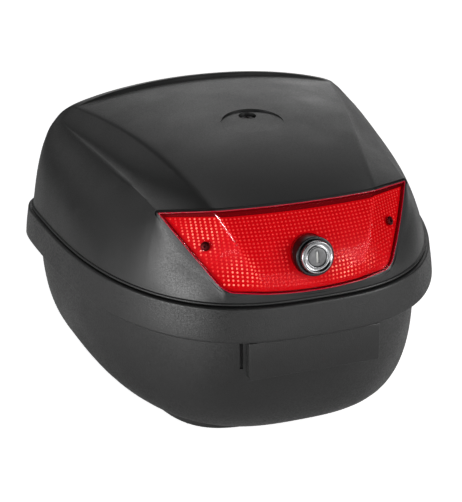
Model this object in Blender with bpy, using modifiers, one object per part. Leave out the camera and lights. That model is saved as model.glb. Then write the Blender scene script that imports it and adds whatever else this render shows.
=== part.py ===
"""Motorcycle top case: a lockable lid with a rear reflector on a deep lower shell.

Run it with blender --background --python part.py, or from Blender's text editor.
Dimensions are in millimetres and MM turns them into Blender's metres where an object is made.
+Z is up, -Y is the rear of the motorcycle (the side with lock and reflector), X = 0 is the
plane of symmetry, and Z = 0 is the surface that the docking frame stands on.
"""
import math

import bmesh
import bpy
import numpy as np
from mathutils import Matrix, Vector

MM = 0.001
GAP = 0.3                       # clearance between pieces that touch

# Plan outline at the top edge of the rim band: a superellipse, fuller at the hinge side.
HALF_WIDTH = 200.0
DEPTH = 390.5
WIDEST_Y = 79.0                 # where the case is widest
REAR_POWER = 2.83
HINGE_POWER = 4.17
REAR_TAPER = 0.23
CENTRE_SHIFT_Y = -2.2           # puts the middle of the whole case at Y = 0

# Heights
BODY_BOTTOM_Z = 10.0
BODY_TOP_Z = 122.0
BAND_BOTTOM_Z = 126.0
BAND_TOP_Z = 157.3
LID_EDGE_Z = 158.3

# Lower shell
WALL = 2.8
FLOOR_HALF_WIDTH = 135.5
FLOOR_REAR_Y = -140.5
FLOOR_HINGE_Y = 126.0
BODY_INSET = 9.6                # body below the band, inside the band's top edge
BAND_FLARE = 4.4                # how far the band's lower edge stands out
LIP_INSET = 11.7
LIP_TOP_Z = 161.5

# Lid
LID_INSET = 4.7
POCKET_DEPTH = 6.5              # pocket for the reflector
LENS_THICKNESS = 2.4
PLATE_DEPTH = 3.2
PLATE_THICKNESS = 2.0
CROWN_Z = 281.0
CROWN_Y = 62.0
BACK_LIP_RISE = 5.0

# Lock
LOCK_FACE = (0.0, -196.1, 199.7)
LOCK_TILT = 13.0                # degrees above the horizontal
BUTTON_RADIUS = 14.6
HOUSING_RADIUS = 17.6
PLUG_RADIUS = 8.4
PLUG_BORE = 8.8                 # in the button
STEM_RADIUS = 3.4               # behind the plug, through the cam
WASHER_RADIUS = 22.0
LATCH_PIVOT = (0.0, -22.0, -54.0)   # from the lock's face, along its axis

# Latch and keeper
NOSE_Y = -143.7
HOOK_LOW_Z = 141.0
HOOK_HALF_WIDTH = 7.0
KEEPER_HALF_WIDTH = 22.0
KEEPER_TOP_Z = 152.0
KEEPER_SHELF_Z = 149.0
KEEPER_SCREW_X = 14.0
KEEPER_SCREW_Z = 142.0

# Rear panel under the band
PANEL_HALF_WIDTH = 62.5
PANEL_FACE_Y = -192.4
PANEL_BOTTOM_Z = 88.0
PANEL_TOP_Z = 124.4

# Recess in the top, with its screw
RECESS_Y = -27.5
RECESS_RADIUS = 30.5
RECESS_FLOOR_Z = 274.8
TOP_SCREW_Y = -7.0
TOP_SCREW_Z = 271.3

# Pins, screws and the bores that they pass through
PIN_RADIUS = 2.0
PIN_BORE = 2.3
SMALL_HEAD = 3.6
SMALL_SHANK = 1.7
SMALL_BORE = 2.1
DOCKING_SHANK = 2.2
DOCKING_BORE = 2.6

# Hinge
HINGE_Y = 199.6
HINGE_Z = 164.5
HINGE_X = 82.0
KNUCKLE_RADIUS = 4.6


# ---------------------------------------------------------------- scene and helpers

def clear_scene():
    for obj in list(bpy.data.objects):
        bpy.data.objects.remove(obj, do_unlink=True)


def new_collection(name):
    group = bpy.data.collections.new(name)
    bpy.context.scene.collection.children.link(group)
    return group


def finish(name, colour, roughness, metallic=0.0, alpha=1.0):
    mat = bpy.data.materials.new(name)
    mat.use_nodes = True
    shader = mat.node_tree.nodes["Principled BSDF"]
    shader.inputs["Base Color"].default_value = (*colour, 1.0)
    shader.inputs["Roughness"].default_value = roughness
    shader.inputs["Metallic"].default_value = metallic
    shader.inputs["Alpha"].default_value = alpha
    mat.diffuse_color = (*colour, alpha)
    return mat


clear_scene()
PARTS = new_collection("top_case")
CUTTERS = new_collection("cutters")


def empty(name, location, parent=None, tilt=0.0):
    """An axis that pieces hang on; location is in case coordinates (mm)."""
    obj = bpy.data.objects.new(name, None)
    obj["place"] = list(location)
    offset = Vector(location) - (Vector(parent["place"]) if parent else Vector())
    obj.location = offset * MM
    obj.rotation_euler = (math.radians(tilt), 0, 0)
    obj.parent = parent
    PARTS.objects.link(obj)
    return obj


CASE = empty("case_frame", (0, 0, 0))
CASE.location = (0, CENTRE_SHIFT_Y * MM, 0)
LID_AXIS = empty("lid_hinge_axis", (0, HINGE_Y, HINGE_Z), CASE)
LOCK_AXIS = empty("lock_axis", LOCK_FACE, LID_AXIS, tilt=90.0 - LOCK_TILT)


def place(obj, parent, local=False):
    """Parent a piece made in case coordinates, or in its parent's own when local."""
    obj.parent = parent
    if not local:
        obj.location = -Vector(parent["place"]) * MM
    return obj


def mesh_object(name, verts, faces, parent, local=False):
    mesh = bpy.data.meshes.new(name)
    mesh.from_pydata([tuple(float(c) * MM for c in v) for v in verts], [], faces)
    mesh.validate()
    obj = bpy.data.objects.new(name, mesh)
    PARTS.objects.link(obj)
    return place(obj, parent, local)


def from_bmesh(name, bm, parent, local=False):
    bmesh.ops.recalc_face_normals(bm, faces=bm.faces)
    mesh = bpy.data.meshes.new(name)
    bm.to_mesh(mesh)
    bm.free()
    obj = bpy.data.objects.new(name, mesh)
    PARTS.objects.link(obj)
    return place(obj, parent, local)


def box(name, low, high, parent, local=False, bevel=0.0, lean=0.0):
    """A block between two corners; lean moves its lower edge along Y."""
    low, high = Vector(low), Vector(high)
    bm = bmesh.new()
    bmesh.ops.create_cube(bm, size=1.0)
    for vert in bm.verts:
        shift = lean if vert.co.z < 0 else 0.0
        for axis in range(3):
            vert.co[axis] = (low[axis] if vert.co[axis] < 0 else high[axis]) * MM
        vert.co.y += shift * MM
    obj = from_bmesh(name, bm, parent, local)
    if bevel:
        round_edges(obj, bevel)
    return obj


def round_edges(obj, width, segments=2):
    bev = obj.modifiers.new("rounded_edges", "BEVEL")
    bev.width = width * MM
    bev.segments = segments
    bev.limit_method = "ANGLE"
    bev.angle_limit = math.radians(40)


def rod(name, radius, start, end, parent, local=False, sides=24):
    """A cylinder from one point to another."""
    start, end = Vector(start) * MM, Vector(end) * MM
    axis = end - start
    turn = axis.to_track_quat("Z", "Y").to_matrix().to_4x4()
    bm = bmesh.new()
    bmesh.ops.create_cone(bm, cap_ends=True, segments=sides, radius1=radius * MM,
                          radius2=radius * MM, depth=axis.length,
                          matrix=Matrix.Translation((start + end) / 2) @ turn)
    return from_bmesh(name, bm, parent, local)


def turned(name, profile, parent, steps=32, ring=False):
    """A Screw round the parent's Z axis; profile is (radius, height), down the outer side."""
    count = len(profile)
    edges = [(i, i + 1) for i in range(count - 1)]
    if ring:
        edges.append((count - 1, 0))
    mesh = bpy.data.meshes.new(name)
    mesh.from_pydata([(r * MM, 0, z * MM) for r, z in profile], edges, [])
    obj = bpy.data.objects.new(name, mesh)
    PARTS.objects.link(obj)
    place(obj, parent, local=True)
    screw = obj.modifiers.new("turn", "SCREW")
    screw.steps = steps
    screw.render_steps = steps
    screw.use_merge_vertices = True
    screw.merge_threshold = 0.00001
    return obj


def prism(name, outline, x_low, x_high, parent, local=False):
    """A flat outline in (Y, Z), carried along X."""
    bm = bmesh.new()
    face = bm.faces.new([bm.verts.new((x_low * MM, y * MM, z * MM)) for y, z in outline])
    grown = bmesh.ops.extrude_face_region(bm, geom=[face])
    moved = [g for g in grown["geom"] if isinstance(g, bmesh.types.BMVert)]
    bmesh.ops.translate(bm, verts=moved, vec=((x_high - x_low) * MM, 0, 0))
    return from_bmesh(name, bm, parent, local)


def hide_as_cutter(obj):
    PARTS.objects.unlink(obj)
    CUTTERS.objects.link(obj)
    obj.hide_render = True
    obj.display_type = "WIRE"


def combine(obj, tool, operation="DIFFERENCE"):
    """Cut a tool from a piece, or join it on with operation UNION."""
    mod = obj.modifiers.new(tool.name, "BOOLEAN")
    mod.operation = operation
    mod.solver = "EXACT"
    mod.object = tool
    if tool.name in PARTS.objects:
        hide_as_cutter(tool)


def thicken(obj, wall):
    """Give an open skin a wall on its inner side."""
    mod = obj.modifiers.new("wall", "SOLIDIFY")
    mod.thickness = wall * MM
    mod.offset = -1.0
    mod.use_even_offset = False


def screw(name, head_radius, shank_radius, shank, position, direction, parent,
          local=False, head=1.8):
    """A pan-head screw; direction points out of the head, the cross recess is cut in it."""
    position, out = Vector(position), Vector(direction).normalized()
    obj = rod(name, head_radius, position, position + out * head, parent, local, sides=14)
    stem = rod(name + "_stem", shank_radius, position - out * shank, position + out * 0.5,
               parent, local, sides=8)
    combine(obj, stem, "UNION")
    side = out.orthogonal().normalized()
    for turn in (side, out.cross(side)):
        reach = head_radius * 0.55
        slot = rod(name + "_recess", head_radius * 0.16, position + out * head - turn * reach,
                   position + out * head + turn * reach, parent, local, sides=4)
        combine(obj, slot)
    return obj


# ---------------------------------------------------------------- plan outline

def superellipse(half_width, depth, shift, rear_power, samples=1440):
    angle = np.linspace(0, 2 * math.pi, samples, endpoint=False)
    c, s = np.cos(angle), np.sin(angle)
    power = np.where(s < 0, rear_power, HINGE_POWER)
    reach = np.where(s < 0, depth / 2 + shift, depth / 2 - shift)
    x = np.sign(c) * np.abs(c) ** (2 / power)
    y = reach * np.sign(s) * np.abs(s) ** (2 / power) + shift
    x *= 1 + REAR_TAPER * y / depth
    return x * half_width / np.abs(x).max(), y


def outline(bearings, half_width, y_rear, y_hinge, rear_power=REAR_POWER):
    """Points of a plan outline at the given bearings round the case's middle."""
    depth = y_hinge - y_rear
    middle = (y_hinge + y_rear) / 2
    x, y = superellipse(half_width, depth, WIDEST_Y * depth / DEPTH, rear_power)
    y = y + middle
    found = np.unwrap(np.arctan2(y, x))
    order = np.argsort(np.mod(found, 2 * math.pi))
    found = np.mod(found, 2 * math.pi)[order]
    wanted = np.mod(bearings, 2 * math.pi)
    return (np.interp(wanted, found, x[order], period=2 * math.pi),
            np.interp(wanted, found, y[order], period=2 * math.pi))


def rim_outline(bearings, inset):
    half = DEPTH / 2 - inset
    return outline(bearings, HALF_WIDTH - inset, -half, half)


# ---------------------------------------------------------------- lower shell

COLUMNS = 64
BEARINGS = np.linspace(0, 2 * math.pi, COLUMNS, endpoint=False)


def rounded(t, power):
    """Rises steeply from 0 and levels out at 1."""
    return (1 - (1 - t) ** power) ** (1 / power)


def body_ring(t):
    """The tapered body: t is 0 at the floor's edge and 1 under the rim band."""
    side, rear, hinge = (rounded(t, power) for power in (2.6, 1.83, 2.6))
    half = FLOOR_HALF_WIDTH + (HALF_WIDTH - BODY_INSET - FLOOR_HALF_WIDTH) * side
    y_end = DEPTH / 2 - BODY_INSET
    y_rear = FLOOR_REAR_Y + (-y_end - FLOOR_REAR_Y) * rear
    y_hinge = FLOOR_HINGE_Y + (y_end - FLOOR_HINGE_Y) * hinge
    x, y = outline(BEARINGS, half, y_rear, y_hinge, 2.9 - 0.45 * t)
    return x, y, BODY_BOTTOM_Z + (BODY_TOP_Z - BODY_BOTTOM_Z) * t


def make_lower_shell():
    rings = [body_ring(t) for t in (0, 0.012, 0.05, 0.12, 0.24, 0.42, 0.68, 1.0)]
    x, y, z = rings[-1]
    rings.append((x, y, BAND_BOTTOM_Z - 0.6))
    for inset, z in ((-BAND_FLARE, BAND_BOTTOM_Z),
                     (0.0, BAND_TOP_Z - 0.8), (1.2, BAND_TOP_Z), (LIP_INSET, BAND_TOP_Z),
                     (LIP_INSET, LIP_TOP_Z)):
        rings.append((*rim_outline(BEARINGS, inset), z))
    verts = [(x, y, z) for xs, ys, z in rings for x, y in zip(xs, ys)]
    faces = [tuple(reversed(range(COLUMNS)))]
    for row in range(len(rings) - 1):
        for col in range(COLUMNS):
            a = row * COLUMNS + col
            b = row * COLUMNS + (col + 1) % COLUMNS
            faces.append((a, b, b + COLUMNS, a + COLUMNS))
    shell = mesh_object("lower_shell", verts, faces, CASE)
    thicken(shell, WALL)
    panel = box("rear_panel", (-PANEL_HALF_WIDTH, PANEL_FACE_Y, PANEL_BOTTOM_Z),
                (PANEL_HALF_WIDTH, PANEL_FACE_Y + 8.8, PANEL_TOP_Z), CASE)
    for vert in panel.data.vertices:
        if vert.co.y > -0.190 and vert.co.z < 0.1:
            vert.co.y = -0.1808
    combine(shell, panel, "UNION")
    slot = box("lever_slot", (-7, -42, 0), (7, -12, 30), CASE)
    combine(shell, slot)
    return shell


# ---------------------------------------------------------------- lid surface
# The lid's skin is a patch of two parameters. u runs across: 0 on the centre line, 1 on the
# crease of the raised top panel, 2 on the upper edge of the side panel. v runs from the
# reflector's lower edge (-1) over its upper edge (0) to the hinge side (1).

def arc(start, pull, end, t):
    start, pull, end = np.array(start), np.array(pull), np.array(end)
    return start * (1 - t) ** 2 + pull * 2 * t * (1 - t) + end * t * t


def centre_line(v):
    if v <= 0:
        return arc((0, -191.5, 166.5), (0, -190.5, 197), (0, -147, 233.5), v + 1)
    y = -147 + 295 * v
    return np.array((0, y, CROWN_Z - 47.5 * (abs(y - CROWN_Y) / 209) ** 2.37))


def crease_line(v):
    if v <= 0:
        return arc((47, -188, 168), (56, -187, 200), (76.6, -143, 234.2), v + 1)
    y = -143 + 282 * v
    return np.array((76.6 + 67.4 * v ** 1.05, y, 264.5 - 30.3 * (abs(y - 65) / 208) ** 2.2))


def side_line(v):
    if v <= 0:
        return arc((79, -177, 170), (102, -148, 200), (120.7, -113.5, 228), v + 1)
    return np.array((120.7 + 39.3 * v ** 1.15, -113.5 + 248.5 * v, 228 + 19 * v ** 0.8))


def lid_top(u, v):
    across = abs(u)
    crease = crease_line(v)
    if across <= 1:
        mid = centre_line(v)
        point = mid + (crease - mid) * across ** 2
        point[2] = mid[2] + (crease[2] - mid[2]) * across ** 2.2
        point[0] = crease[0] * across
        rise = min(max((v - 0.962) / 0.014, 0.0), 1.0)
        point[2] += BACK_LIP_RISE * rise * math.sqrt(1 - across ** 2)
    else:
        w = across - 1
        edge = side_line(v)
        hollow = 1 + 0.9 * math.sin(math.pi * max(v, 0.0)) ** 0.7
        point = crease + (edge - crease) * w
        point[2] = crease[2] + (edge[2] - crease[2]) * (1 - (1 - w) ** hollow)
    point[0] = math.copysign(point[0], u)
    return point


def lid_normal(u, v, step=0.02):
    u0, u1 = max(u - step, -2), min(u + step, 2)
    v0, v1 = max(v - step, -1), min(v + step, 0)
    n = np.cross(lid_top(u1, v) - lid_top(u0, v), lid_top(u, v1) - lid_top(u, v0))
    return n / np.linalg.norm(n)


def lid_wall(u, v, w):
    """The side of the lid: w is 0 on the patch's border and 1 on the lid's lower edge."""
    top = lid_top(u, v)
    x, y = rim_outline(np.array([math.atan2(top[1], top[0])]), LID_INSET)
    foot = np.array((x[0], y[0], LID_EDGE_Z))
    out = foot - top
    shoulder = top + out * (0.85, 0.85, 0.10)
    skirt = top + out * (0.88, 0.88, 0.69)
    return (top * (1 - w) ** 3 + shoulder * 3 * w * (1 - w) ** 2
            + skirt * 3 * w * w * (1 - w) + foot * w ** 3)


def lens_patch(name, depth, thickness, trim, us, vs):
    """A curved plate in the reflector pocket, depth below the lid's outer surface."""
    verts = []
    for v in vs:
        for u in us:
            uu, vv = u * (1 - trim), -0.5 + (v + 0.5) * (1 - trim)
            verts.append(lid_top(uu, vv) - lid_normal(uu, vv) * depth)
    n = len(us)
    faces = [(r * n + c, r * n + c + 1, (r + 1) * n + c + 1, (r + 1) * n + c)
             for r in range(len(vs) - 1) for c in range(n - 1)]
    obj = mesh_object(name, verts, faces, LID_AXIS)
    thicken(obj, thickness)
    return obj


LID_US = np.linspace(-2, 2, 17)
LENS_VS = np.linspace(-1, 0, 6)
TOP_VS = (0.09, 0.2, 0.33, 0.47, 0.61, 0.75, 0.88, 0.95, 0.963, 0.976, 1.0)
WALL_WS = (0.22, 0.42, 0.6, 0.8, 1.0)


def lid_border():
    """The patch's border, counterclockwise from above, starting at its rear left corner."""
    vs = list(LENS_VS) + list(TOP_VS)
    loop = [(u, -1.0) for u in LID_US]
    loop += [(2.0, v) for v in vs[1:]]
    loop += [(u, 1.0) for u in reversed(LID_US[:-1])]
    loop += [(-2.0, v) for v in reversed(vs[1:-1])]
    return loop


def make_lid_skin():
    verts, faces, index = [], [], {}

    def vertex(key, point):
        if key not in index:
            index[key] = len(verts)
            verts.append(point)
        return index[key]

    def skin(u, v):
        return vertex(("skin", round(u, 4), round(v, 4)), lid_top(u, v))

    def floor(u, v):
        return vertex(("floor", round(u, 4), round(v, 4)),
                      lid_top(u, v) - lid_normal(u, v) * POCKET_DEPTH)

    def quads(us, vs, point):
        for u0, u1 in zip(us[:-1], us[1:]):
            for v0, v1 in zip(vs[:-1], vs[1:]):
                faces.append((point(u0, v0), point(u1, v0), point(u1, v1), point(u0, v1)))

    quads(LID_US, LENS_VS, floor)
    quads(LID_US, (0.0,) + TOP_VS, skin)
    for u0, u1 in zip(LID_US[:-1], LID_US[1:]):
        faces.append((skin(u0, -1), skin(u1, -1), floor(u1, -1), floor(u0, -1)))
        faces.append((floor(u0, 0), floor(u1, 0), skin(u1, 0), skin(u0, 0)))
    for v0, v1 in zip(LENS_VS[:-1], LENS_VS[1:]):
        faces.append((skin(2, v0), skin(2, v1), floor(2, v1), floor(2, v0)))
        faces.append((floor(-2, v0), floor(-2, v1), skin(-2, v1), skin(-2, v0)))

    loop = lid_border()
    for i, (ua, va) in enumerate(loop):
        ub, vb = loop[(i + 1) % len(loop)]
        above = (skin(ua, va), skin(ub, vb))
        for w in WALL_WS:
            below = (vertex((ua, va, w), lid_wall(ua, va, w)),
                     vertex((ub, vb, w), lid_wall(ub, vb, w)))
            faces.append((below[0], below[1], above[1], above[0]))
            above = below
    return mesh_object("lid_shell", verts, faces, LID_AXIS)


LENS_US = np.linspace(-2, 2, 17)


def lens_screw_seat(side):
    """Where a lens screw sits: the point on the lens and the direction out of it."""
    u, v = 1.62 * side, -0.40
    return lid_top(u, v), lid_normal(u, v)


def make_lid():
    lid = make_lid_skin()
    thicken(lid, WALL)
    boss = rod("recess_boss", RECESS_RADIUS + 2.5, (0, RECESS_Y, RECESS_FLOOR_Z - 6.8),
               (0, RECESS_Y, RECESS_FLOOR_Z + 0.8), LID_AXIS, sides=48)
    combine(boss, box("boss_front", (-40, -70, 260), (40, -16, 280), LID_AXIS))
    combine(lid, boss, "UNION")
    combine(lid, rod("recess", RECESS_RADIUS, (0, RECESS_Y, RECESS_FLOOR_Z), (0, RECESS_Y, 300),
                     LID_AXIS, sides=48))
    combine(lid, rod("screw_well", 8.6, (0, TOP_SCREW_Y, TOP_SCREW_Z - 0.3),
                     (0, TOP_SCREW_Y, 280), LID_AXIS))
    combine(lid, rod("screw_bore", 3.0, (0, TOP_SCREW_Y, 260), (0, TOP_SCREW_Y, 275), LID_AXIS,
                     sides=12))
    combine(lid, lock_bore("lid_lock_bore"))

    lens = lens_patch("reflector_lens", 0.0, LENS_THICKNESS, 0.02, LENS_US, LENS_VS)
    combine(lens, lock_bore("lens_lock_bore"))
    plate = lens_patch("reflector_plate", PLATE_DEPTH, PLATE_THICKNESS, 0.03, LENS_US, LENS_VS)
    combine(plate, lock_bore("plate_lock_bore"))
    for side, label in ((-1, "left"), (1, "right")):
        point, out = lens_screw_seat(side)
        point, out = Vector(point), Vector(out)
        seat = point - out * 1.0
        screw("lens_screw_" + label, 4.2, 1.6, 4.6, seat, out, LID_AXIS, head=1.6)
        for piece, cut in ((lens, "lens"), (plate, "plate"), (lid, "lid")):
            bore = rod(f"{cut}_bore_{label}", 2.0, point - out * 20, point + out * 5, LID_AXIS,
                       sides=12)
            combine(piece, bore)
        well = rod(f"lens_well_{label}", 4.6, point - out * 1.3, point + out * 5, LID_AXIS)
        combine(lens, well)
    screw("top_recess_screw", 7.2, 2.6, 9.0, (0, TOP_SCREW_Y, TOP_SCREW_Z), (0, 0, 1), LID_AXIS,
          head=2.4)
    return lid


# ---------------------------------------------------------------- lock and latch
# These are made in the lock axis's own coordinates: Z runs out of the lock's face.

def lock_bore(name):
    return rod(name, HOUSING_RADIUS + GAP, (0, 0, -60), (0, 0, 5), LOCK_AXIS, local=True,
               sides=32)


def make_lock():
    r = BUTTON_RADIUS
    turned("lock_button", [(PLUG_BORE, 0), (r - 1.3, 0), (r, -1.3), (r, -22), (PLUG_BORE, -22)],
           LOCK_AXIS, ring=True)
    plug = turned("lock_plug", [(0, -0.3), (PLUG_RADIUS - 0.4, -0.3), (PLUG_RADIUS, -0.7),
                                (PLUG_RADIUS, -26), (STEM_RADIUS, -26), (STEM_RADIUS, -49.5),
                                (1.6, -52), (0, -52)], LOCK_AXIS)
    combine(plug, box("keyway", (-1.2, -5, -8), (1.2, 5, 3), LOCK_AXIS, local=True))
    bore = BUTTON_RADIUS + GAP
    turned("lock_housing", [(bore, -6), (HOUSING_RADIUS - 0.6, -6), (HOUSING_RADIUS, -6.6),
                            (HOUSING_RADIUS, -46), (9.0, -46), (9.0, -43), (bore, -43)],
           LOCK_AXIS, ring=True)
    spring_coil("lock_spring", 12.2, 0.9, -22.9 - GAP, -42.1 + GAP, 5)

    cam = rod("lock_cam", 6.5, (0, 0, -49.2), (0, 0, -47), LOCK_AXIS, local=True)
    lobe = box("cam_lobe", (-3.2, 0, -49.2), (3.2, 12, -47), LOCK_AXIS, local=True)
    combine(cam, lobe, "UNION")
    combine(cam, rod("cam_bore", STEM_RADIUS + GAP, (0, 0, -60), (0, 0, -40), LOCK_AXIS, local=True))

    washer = rod("lock_wedge_washer", WASHER_RADIUS, (0, 0, -38), (0, 0, -20), LOCK_AXIS, local=True,
                 sides=32)
    combine(washer, lock_bore("washer_bore"))
    slope = box("washer_slope", (-40, -60, 0), (40, 60, 60), LOCK_AXIS, local=True)
    slope.location = (0, 0, -29.3 * MM)
    slope.rotation_euler = (math.radians(-21.0), 0, 0)
    combine(washer, slope)

    nut = rod("lock_nut", WASHER_RADIUS, (0, 0, -44.8), (0, 0, -40.8), LOCK_AXIS, local=True, sides=6)
    combine(nut, lock_bore("nut_bore"))

    frame = box("latch_frame", (-19, -30, -40.5), (19, 20, -38.3), LOCK_AXIS, local=True)
    for side in (-1, 1):
        ear = prism("ear", [(-30, -38.4), (-16, -38.4), (-15, -52), (-17, -61), (-28, -61),
                            (-30, -56)], side * 16.6, side * 19, LOCK_AXIS, local=True)
        combine(frame, ear, "UNION")
    combine(frame, lock_bore("frame_bore"))
    _, y, z = LATCH_PIVOT
    pivot_bore = rod("frame_pivot_bore", PIN_BORE, (-30, y, z), (30, y, z), LOCK_AXIS,
                     local=True, sides=16)
    combine(frame, pivot_bore)
    return frame


def spring_coil(name, radius, wire, z_from, z_to, turns, points=12):
    """A compression spring round the lock's axis."""
    curve = bpy.data.curves.new(name, "CURVE")
    curve.dimensions = "3D"
    curve.bevel_depth = wire * MM
    curve.bevel_resolution = 1
    curve.use_fill_caps = True
    spline = curve.splines.new("POLY")
    count = turns * points
    spline.points.add(count)
    for i in range(count + 1):
        angle = 2 * math.pi * i / points
        z = z_from + (z_to - z_from) * i / count
        spline.points[i].co = (radius * math.cos(angle) * MM, radius * math.sin(angle) * MM,
                               z * MM, 1)
    obj = bpy.data.objects.new(name, curve)
    PARTS.objects.link(obj)
    return place(obj, LOCK_AXIS, local=True)


def make_latch():
    """The hook hangs on a pin below the lock; pushing the lock swings its nose to the rear."""
    tilt = math.radians(90 - LOCK_TILT)
    turn = Matrix.Rotation(tilt, 3, "X")
    pivot = Vector(LOCK_FACE) + turn @ Vector(LATCH_PIVOT)
    axis = empty("latch_axis", pivot, LID_AXIS)
    y, z = pivot.y, pivot.z
    hook = prism("latch_hook", [(y - 5, z + 1), (y - 5, z - 6), (y - 3.6, z - 25),
                                (y - 3.6, HOOK_LOW_Z), (y + 2, HOOK_LOW_Z),
                                (NOSE_Y, HOOK_LOW_Z + 2), (NOSE_Y, HOOK_LOW_Z + 6.3),
                                (y + 0.4, HOOK_LOW_Z + 7.2), (y + 1.5, z - 6),
                                (y + 4.6, z - 2), (y + 4.6, z + 2)],
                 -HOOK_HALF_WIDTH, HOOK_HALF_WIDTH, axis)
    arm = prism("hook_arm", [(-24, -56), (3.5, -55.4), (3.5, -52.3), (-24, -52.3)], -6, 6,
                LOCK_AXIS, local=True)
    combine(hook, arm, "UNION")
    hub = rod("hook_hub", 5.0, (-HOOK_HALF_WIDTH, y, z), (HOOK_HALF_WIDTH, y, z), axis)
    combine(hook, hub, "UNION")
    combine(hook, rod("hook_bore", PIN_BORE, (-20, y, z), (20, y, z), axis, sides=16))
    pin = rod("latch_pin", PIN_RADIUS, (-21, y, z), (21, y, z), axis, sides=16)
    pin_head = rod("latch_pin_head", 3.4, (-21.6, y, z), (-19.4, y, z), axis, sides=16)
    combine(pin, pin_head, "UNION")


def make_keeper():
    half, x, z = KEEPER_HALF_WIDTH, KEEPER_SCREW_X, KEEPER_SCREW_Z
    keeper = box("keeper_bracket", (-half, -191.9, 134), (half, -189.6, KEEPER_TOP_Z), CASE,
                 lean=-2.2)
    shelf = box("keeper_shelf", (-half, -190.4, KEEPER_SHELF_Z), (half, -136, KEEPER_TOP_Z), CASE)
    combine(keeper, shelf, "UNION")
    combine(keeper, box("keeper_slot", (-9.5, -164, 140), (9.5, -143.3, 160), CASE))
    for side, label in ((-1, "left"), (1, "right")):
        rib = prism("keeper_rib_" + label, [(-190.6, 136), (-190.6, 150), (-146, 150)],
                    side * (half - 3), side * half, CASE)
        combine(keeper, rib, "UNION")
        head = (side * x, -190.2, z)
        screw("keeper_screw_" + label, 3.4, 1.6, 1.9, head, (0, 1, 0), CASE)
        combine(keeper, rod("keeper_bore_" + label, 2.0, (side * x, -196, z),
                            (side * x, -180, z), CASE, sides=12))
        combine(keeper, rod("keeper_seat_" + label, 4.4, (side * x, -190.5, z),
                            (side * x, -180, z), CASE))


# ---------------------------------------------------------------- hinge

def lid_back_y(z):
    """Y of the lid's outer face at the hinge side, on the centre line of a hinge."""
    ws = np.linspace(0, 1, 81)
    u = HINGE_X / 148.0
    points = np.array([lid_wall(u, 1.0, w) for w in ws])
    return float(np.interp(z, points[::-1, 2], points[::-1, 1]))


def make_hinges():
    for side, label in ((-1, "left"), (1, "right")):
        x = side * HINGE_X
        bracket = box("hinge_bracket_" + label, (x - 20, 200.2, 132), (x + 20, 202.8, 157.6), CASE)
        arm = rod("lid_hinge_arm_" + label, KNUCKLE_RADIUS, (x - 11.8, HINGE_Y, HINGE_Z),
                  (x + 11.8, HINGE_Y, HINGE_Z), LID_AXIS)
        for end in (-1, 1):
            inner, outer = sorted((x + end * 12.2, x + end * 19.5))
            lug = box("lug", (inner, 200.2, 156), (outer, 203.2, HINGE_Z), CASE)
            knuckle = rod("knuckle", KNUCKLE_RADIUS, (inner, HINGE_Y, HINGE_Z),
                          (outer, HINGE_Y, HINGE_Z), CASE)
            combine(bracket, lug, "UNION")
            combine(bracket, knuckle, "UNION")
            head_x = x + end * 12
            screw(f"hinge_screw_{label}_{'inner' if end * side < 0 else 'outer'}", SMALL_HEAD,
                  SMALL_SHANK, 2.2, (head_x, 202.9 + GAP, 143), (0, 1, 0), CASE, head=1.1)
            combine(bracket, rod("hinge_screw_bore", SMALL_BORE, (head_x, 190, 143),
                                 (head_x, 210, 143), CASE, sides=12))
        back = [(lid_back_y(z) + 1.6, z) for z in (161.5, 170, 180, 190)]
        strap = prism("strap", [(HINGE_Y - 2, 161.5)] + back
                      + [(lid_back_y(190) + 4.2, 190), (lid_back_y(172) + 4.6, 172),
                         (HINGE_Y - 1, HINGE_Z + 3.4)], x - 11.8, x + 11.8, LID_AXIS)
        combine(arm, strap, "UNION")
        combine(bracket, rod("pin_bore", PIN_BORE, (x - 30, HINGE_Y, HINGE_Z),
                             (x + 30, HINGE_Y, HINGE_Z), CASE, sides=16))
        combine(arm, rod("arm_bore", PIN_BORE, (x - 30, HINGE_Y, HINGE_Z),
                         (x + 30, HINGE_Y, HINGE_Z), LID_AXIS, sides=16))
        pin = rod("hinge_pin_" + label, PIN_RADIUS, (x - 20.5, HINGE_Y, HINGE_Z),
                  (x + 20.5, HINGE_Y, HINGE_Z), CASE, sides=16)
        combine(pin, rod("pin_head", 3.2, (x + side * 19.8, HINGE_Y, HINGE_Z),
                         (x + side * 21.6, HINGE_Y, HINGE_Z), CASE, sides=16), "UNION")
        seat = Vector((x, lid_back_y(182) + 4.5, 182))
        slope = (lid_back_y(178) - lid_back_y(186)) / 8
        out = Vector((0, 1, slope)).normalized()
        screw("lid_arm_screw_" + label, SMALL_HEAD, SMALL_SHANK, 2.6, seat + out * GAP, out,
              LID_AXIS, head=1.4)
        combine(arm, rod("arm_screw_bore", SMALL_BORE, seat - out * 20, seat + out * 20, LID_AXIS,
                         sides=12))


# ---------------------------------------------------------------- seal, floor and docking

def ring_band(name, inset_outer, inset_inner, z_low, z_high, parent):
    """A flat-sided band that follows the rim outline."""
    rows = [(inset_outer, z_low), (inset_outer, z_high), (inset_inner, z_high),
            (inset_inner, z_low)]
    verts = []
    for inset, z in rows:
        x, y = rim_outline(BEARINGS, inset)
        verts += [(a, b, z) for a, b in zip(x, y)]
    faces = []
    for row in range(4):
        for col in range(COLUMNS):
            a, b = row * COLUMNS + col, row * COLUMNS + (col + 1) % COLUMNS
            c, d = ((row + 1) % 4) * COLUMNS + (col + 1) % COLUMNS, ((row + 1) % 4) * COLUMNS + col
            faces.append((a, b, c, d))
    return mesh_object(name, verts, faces, parent)


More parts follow.
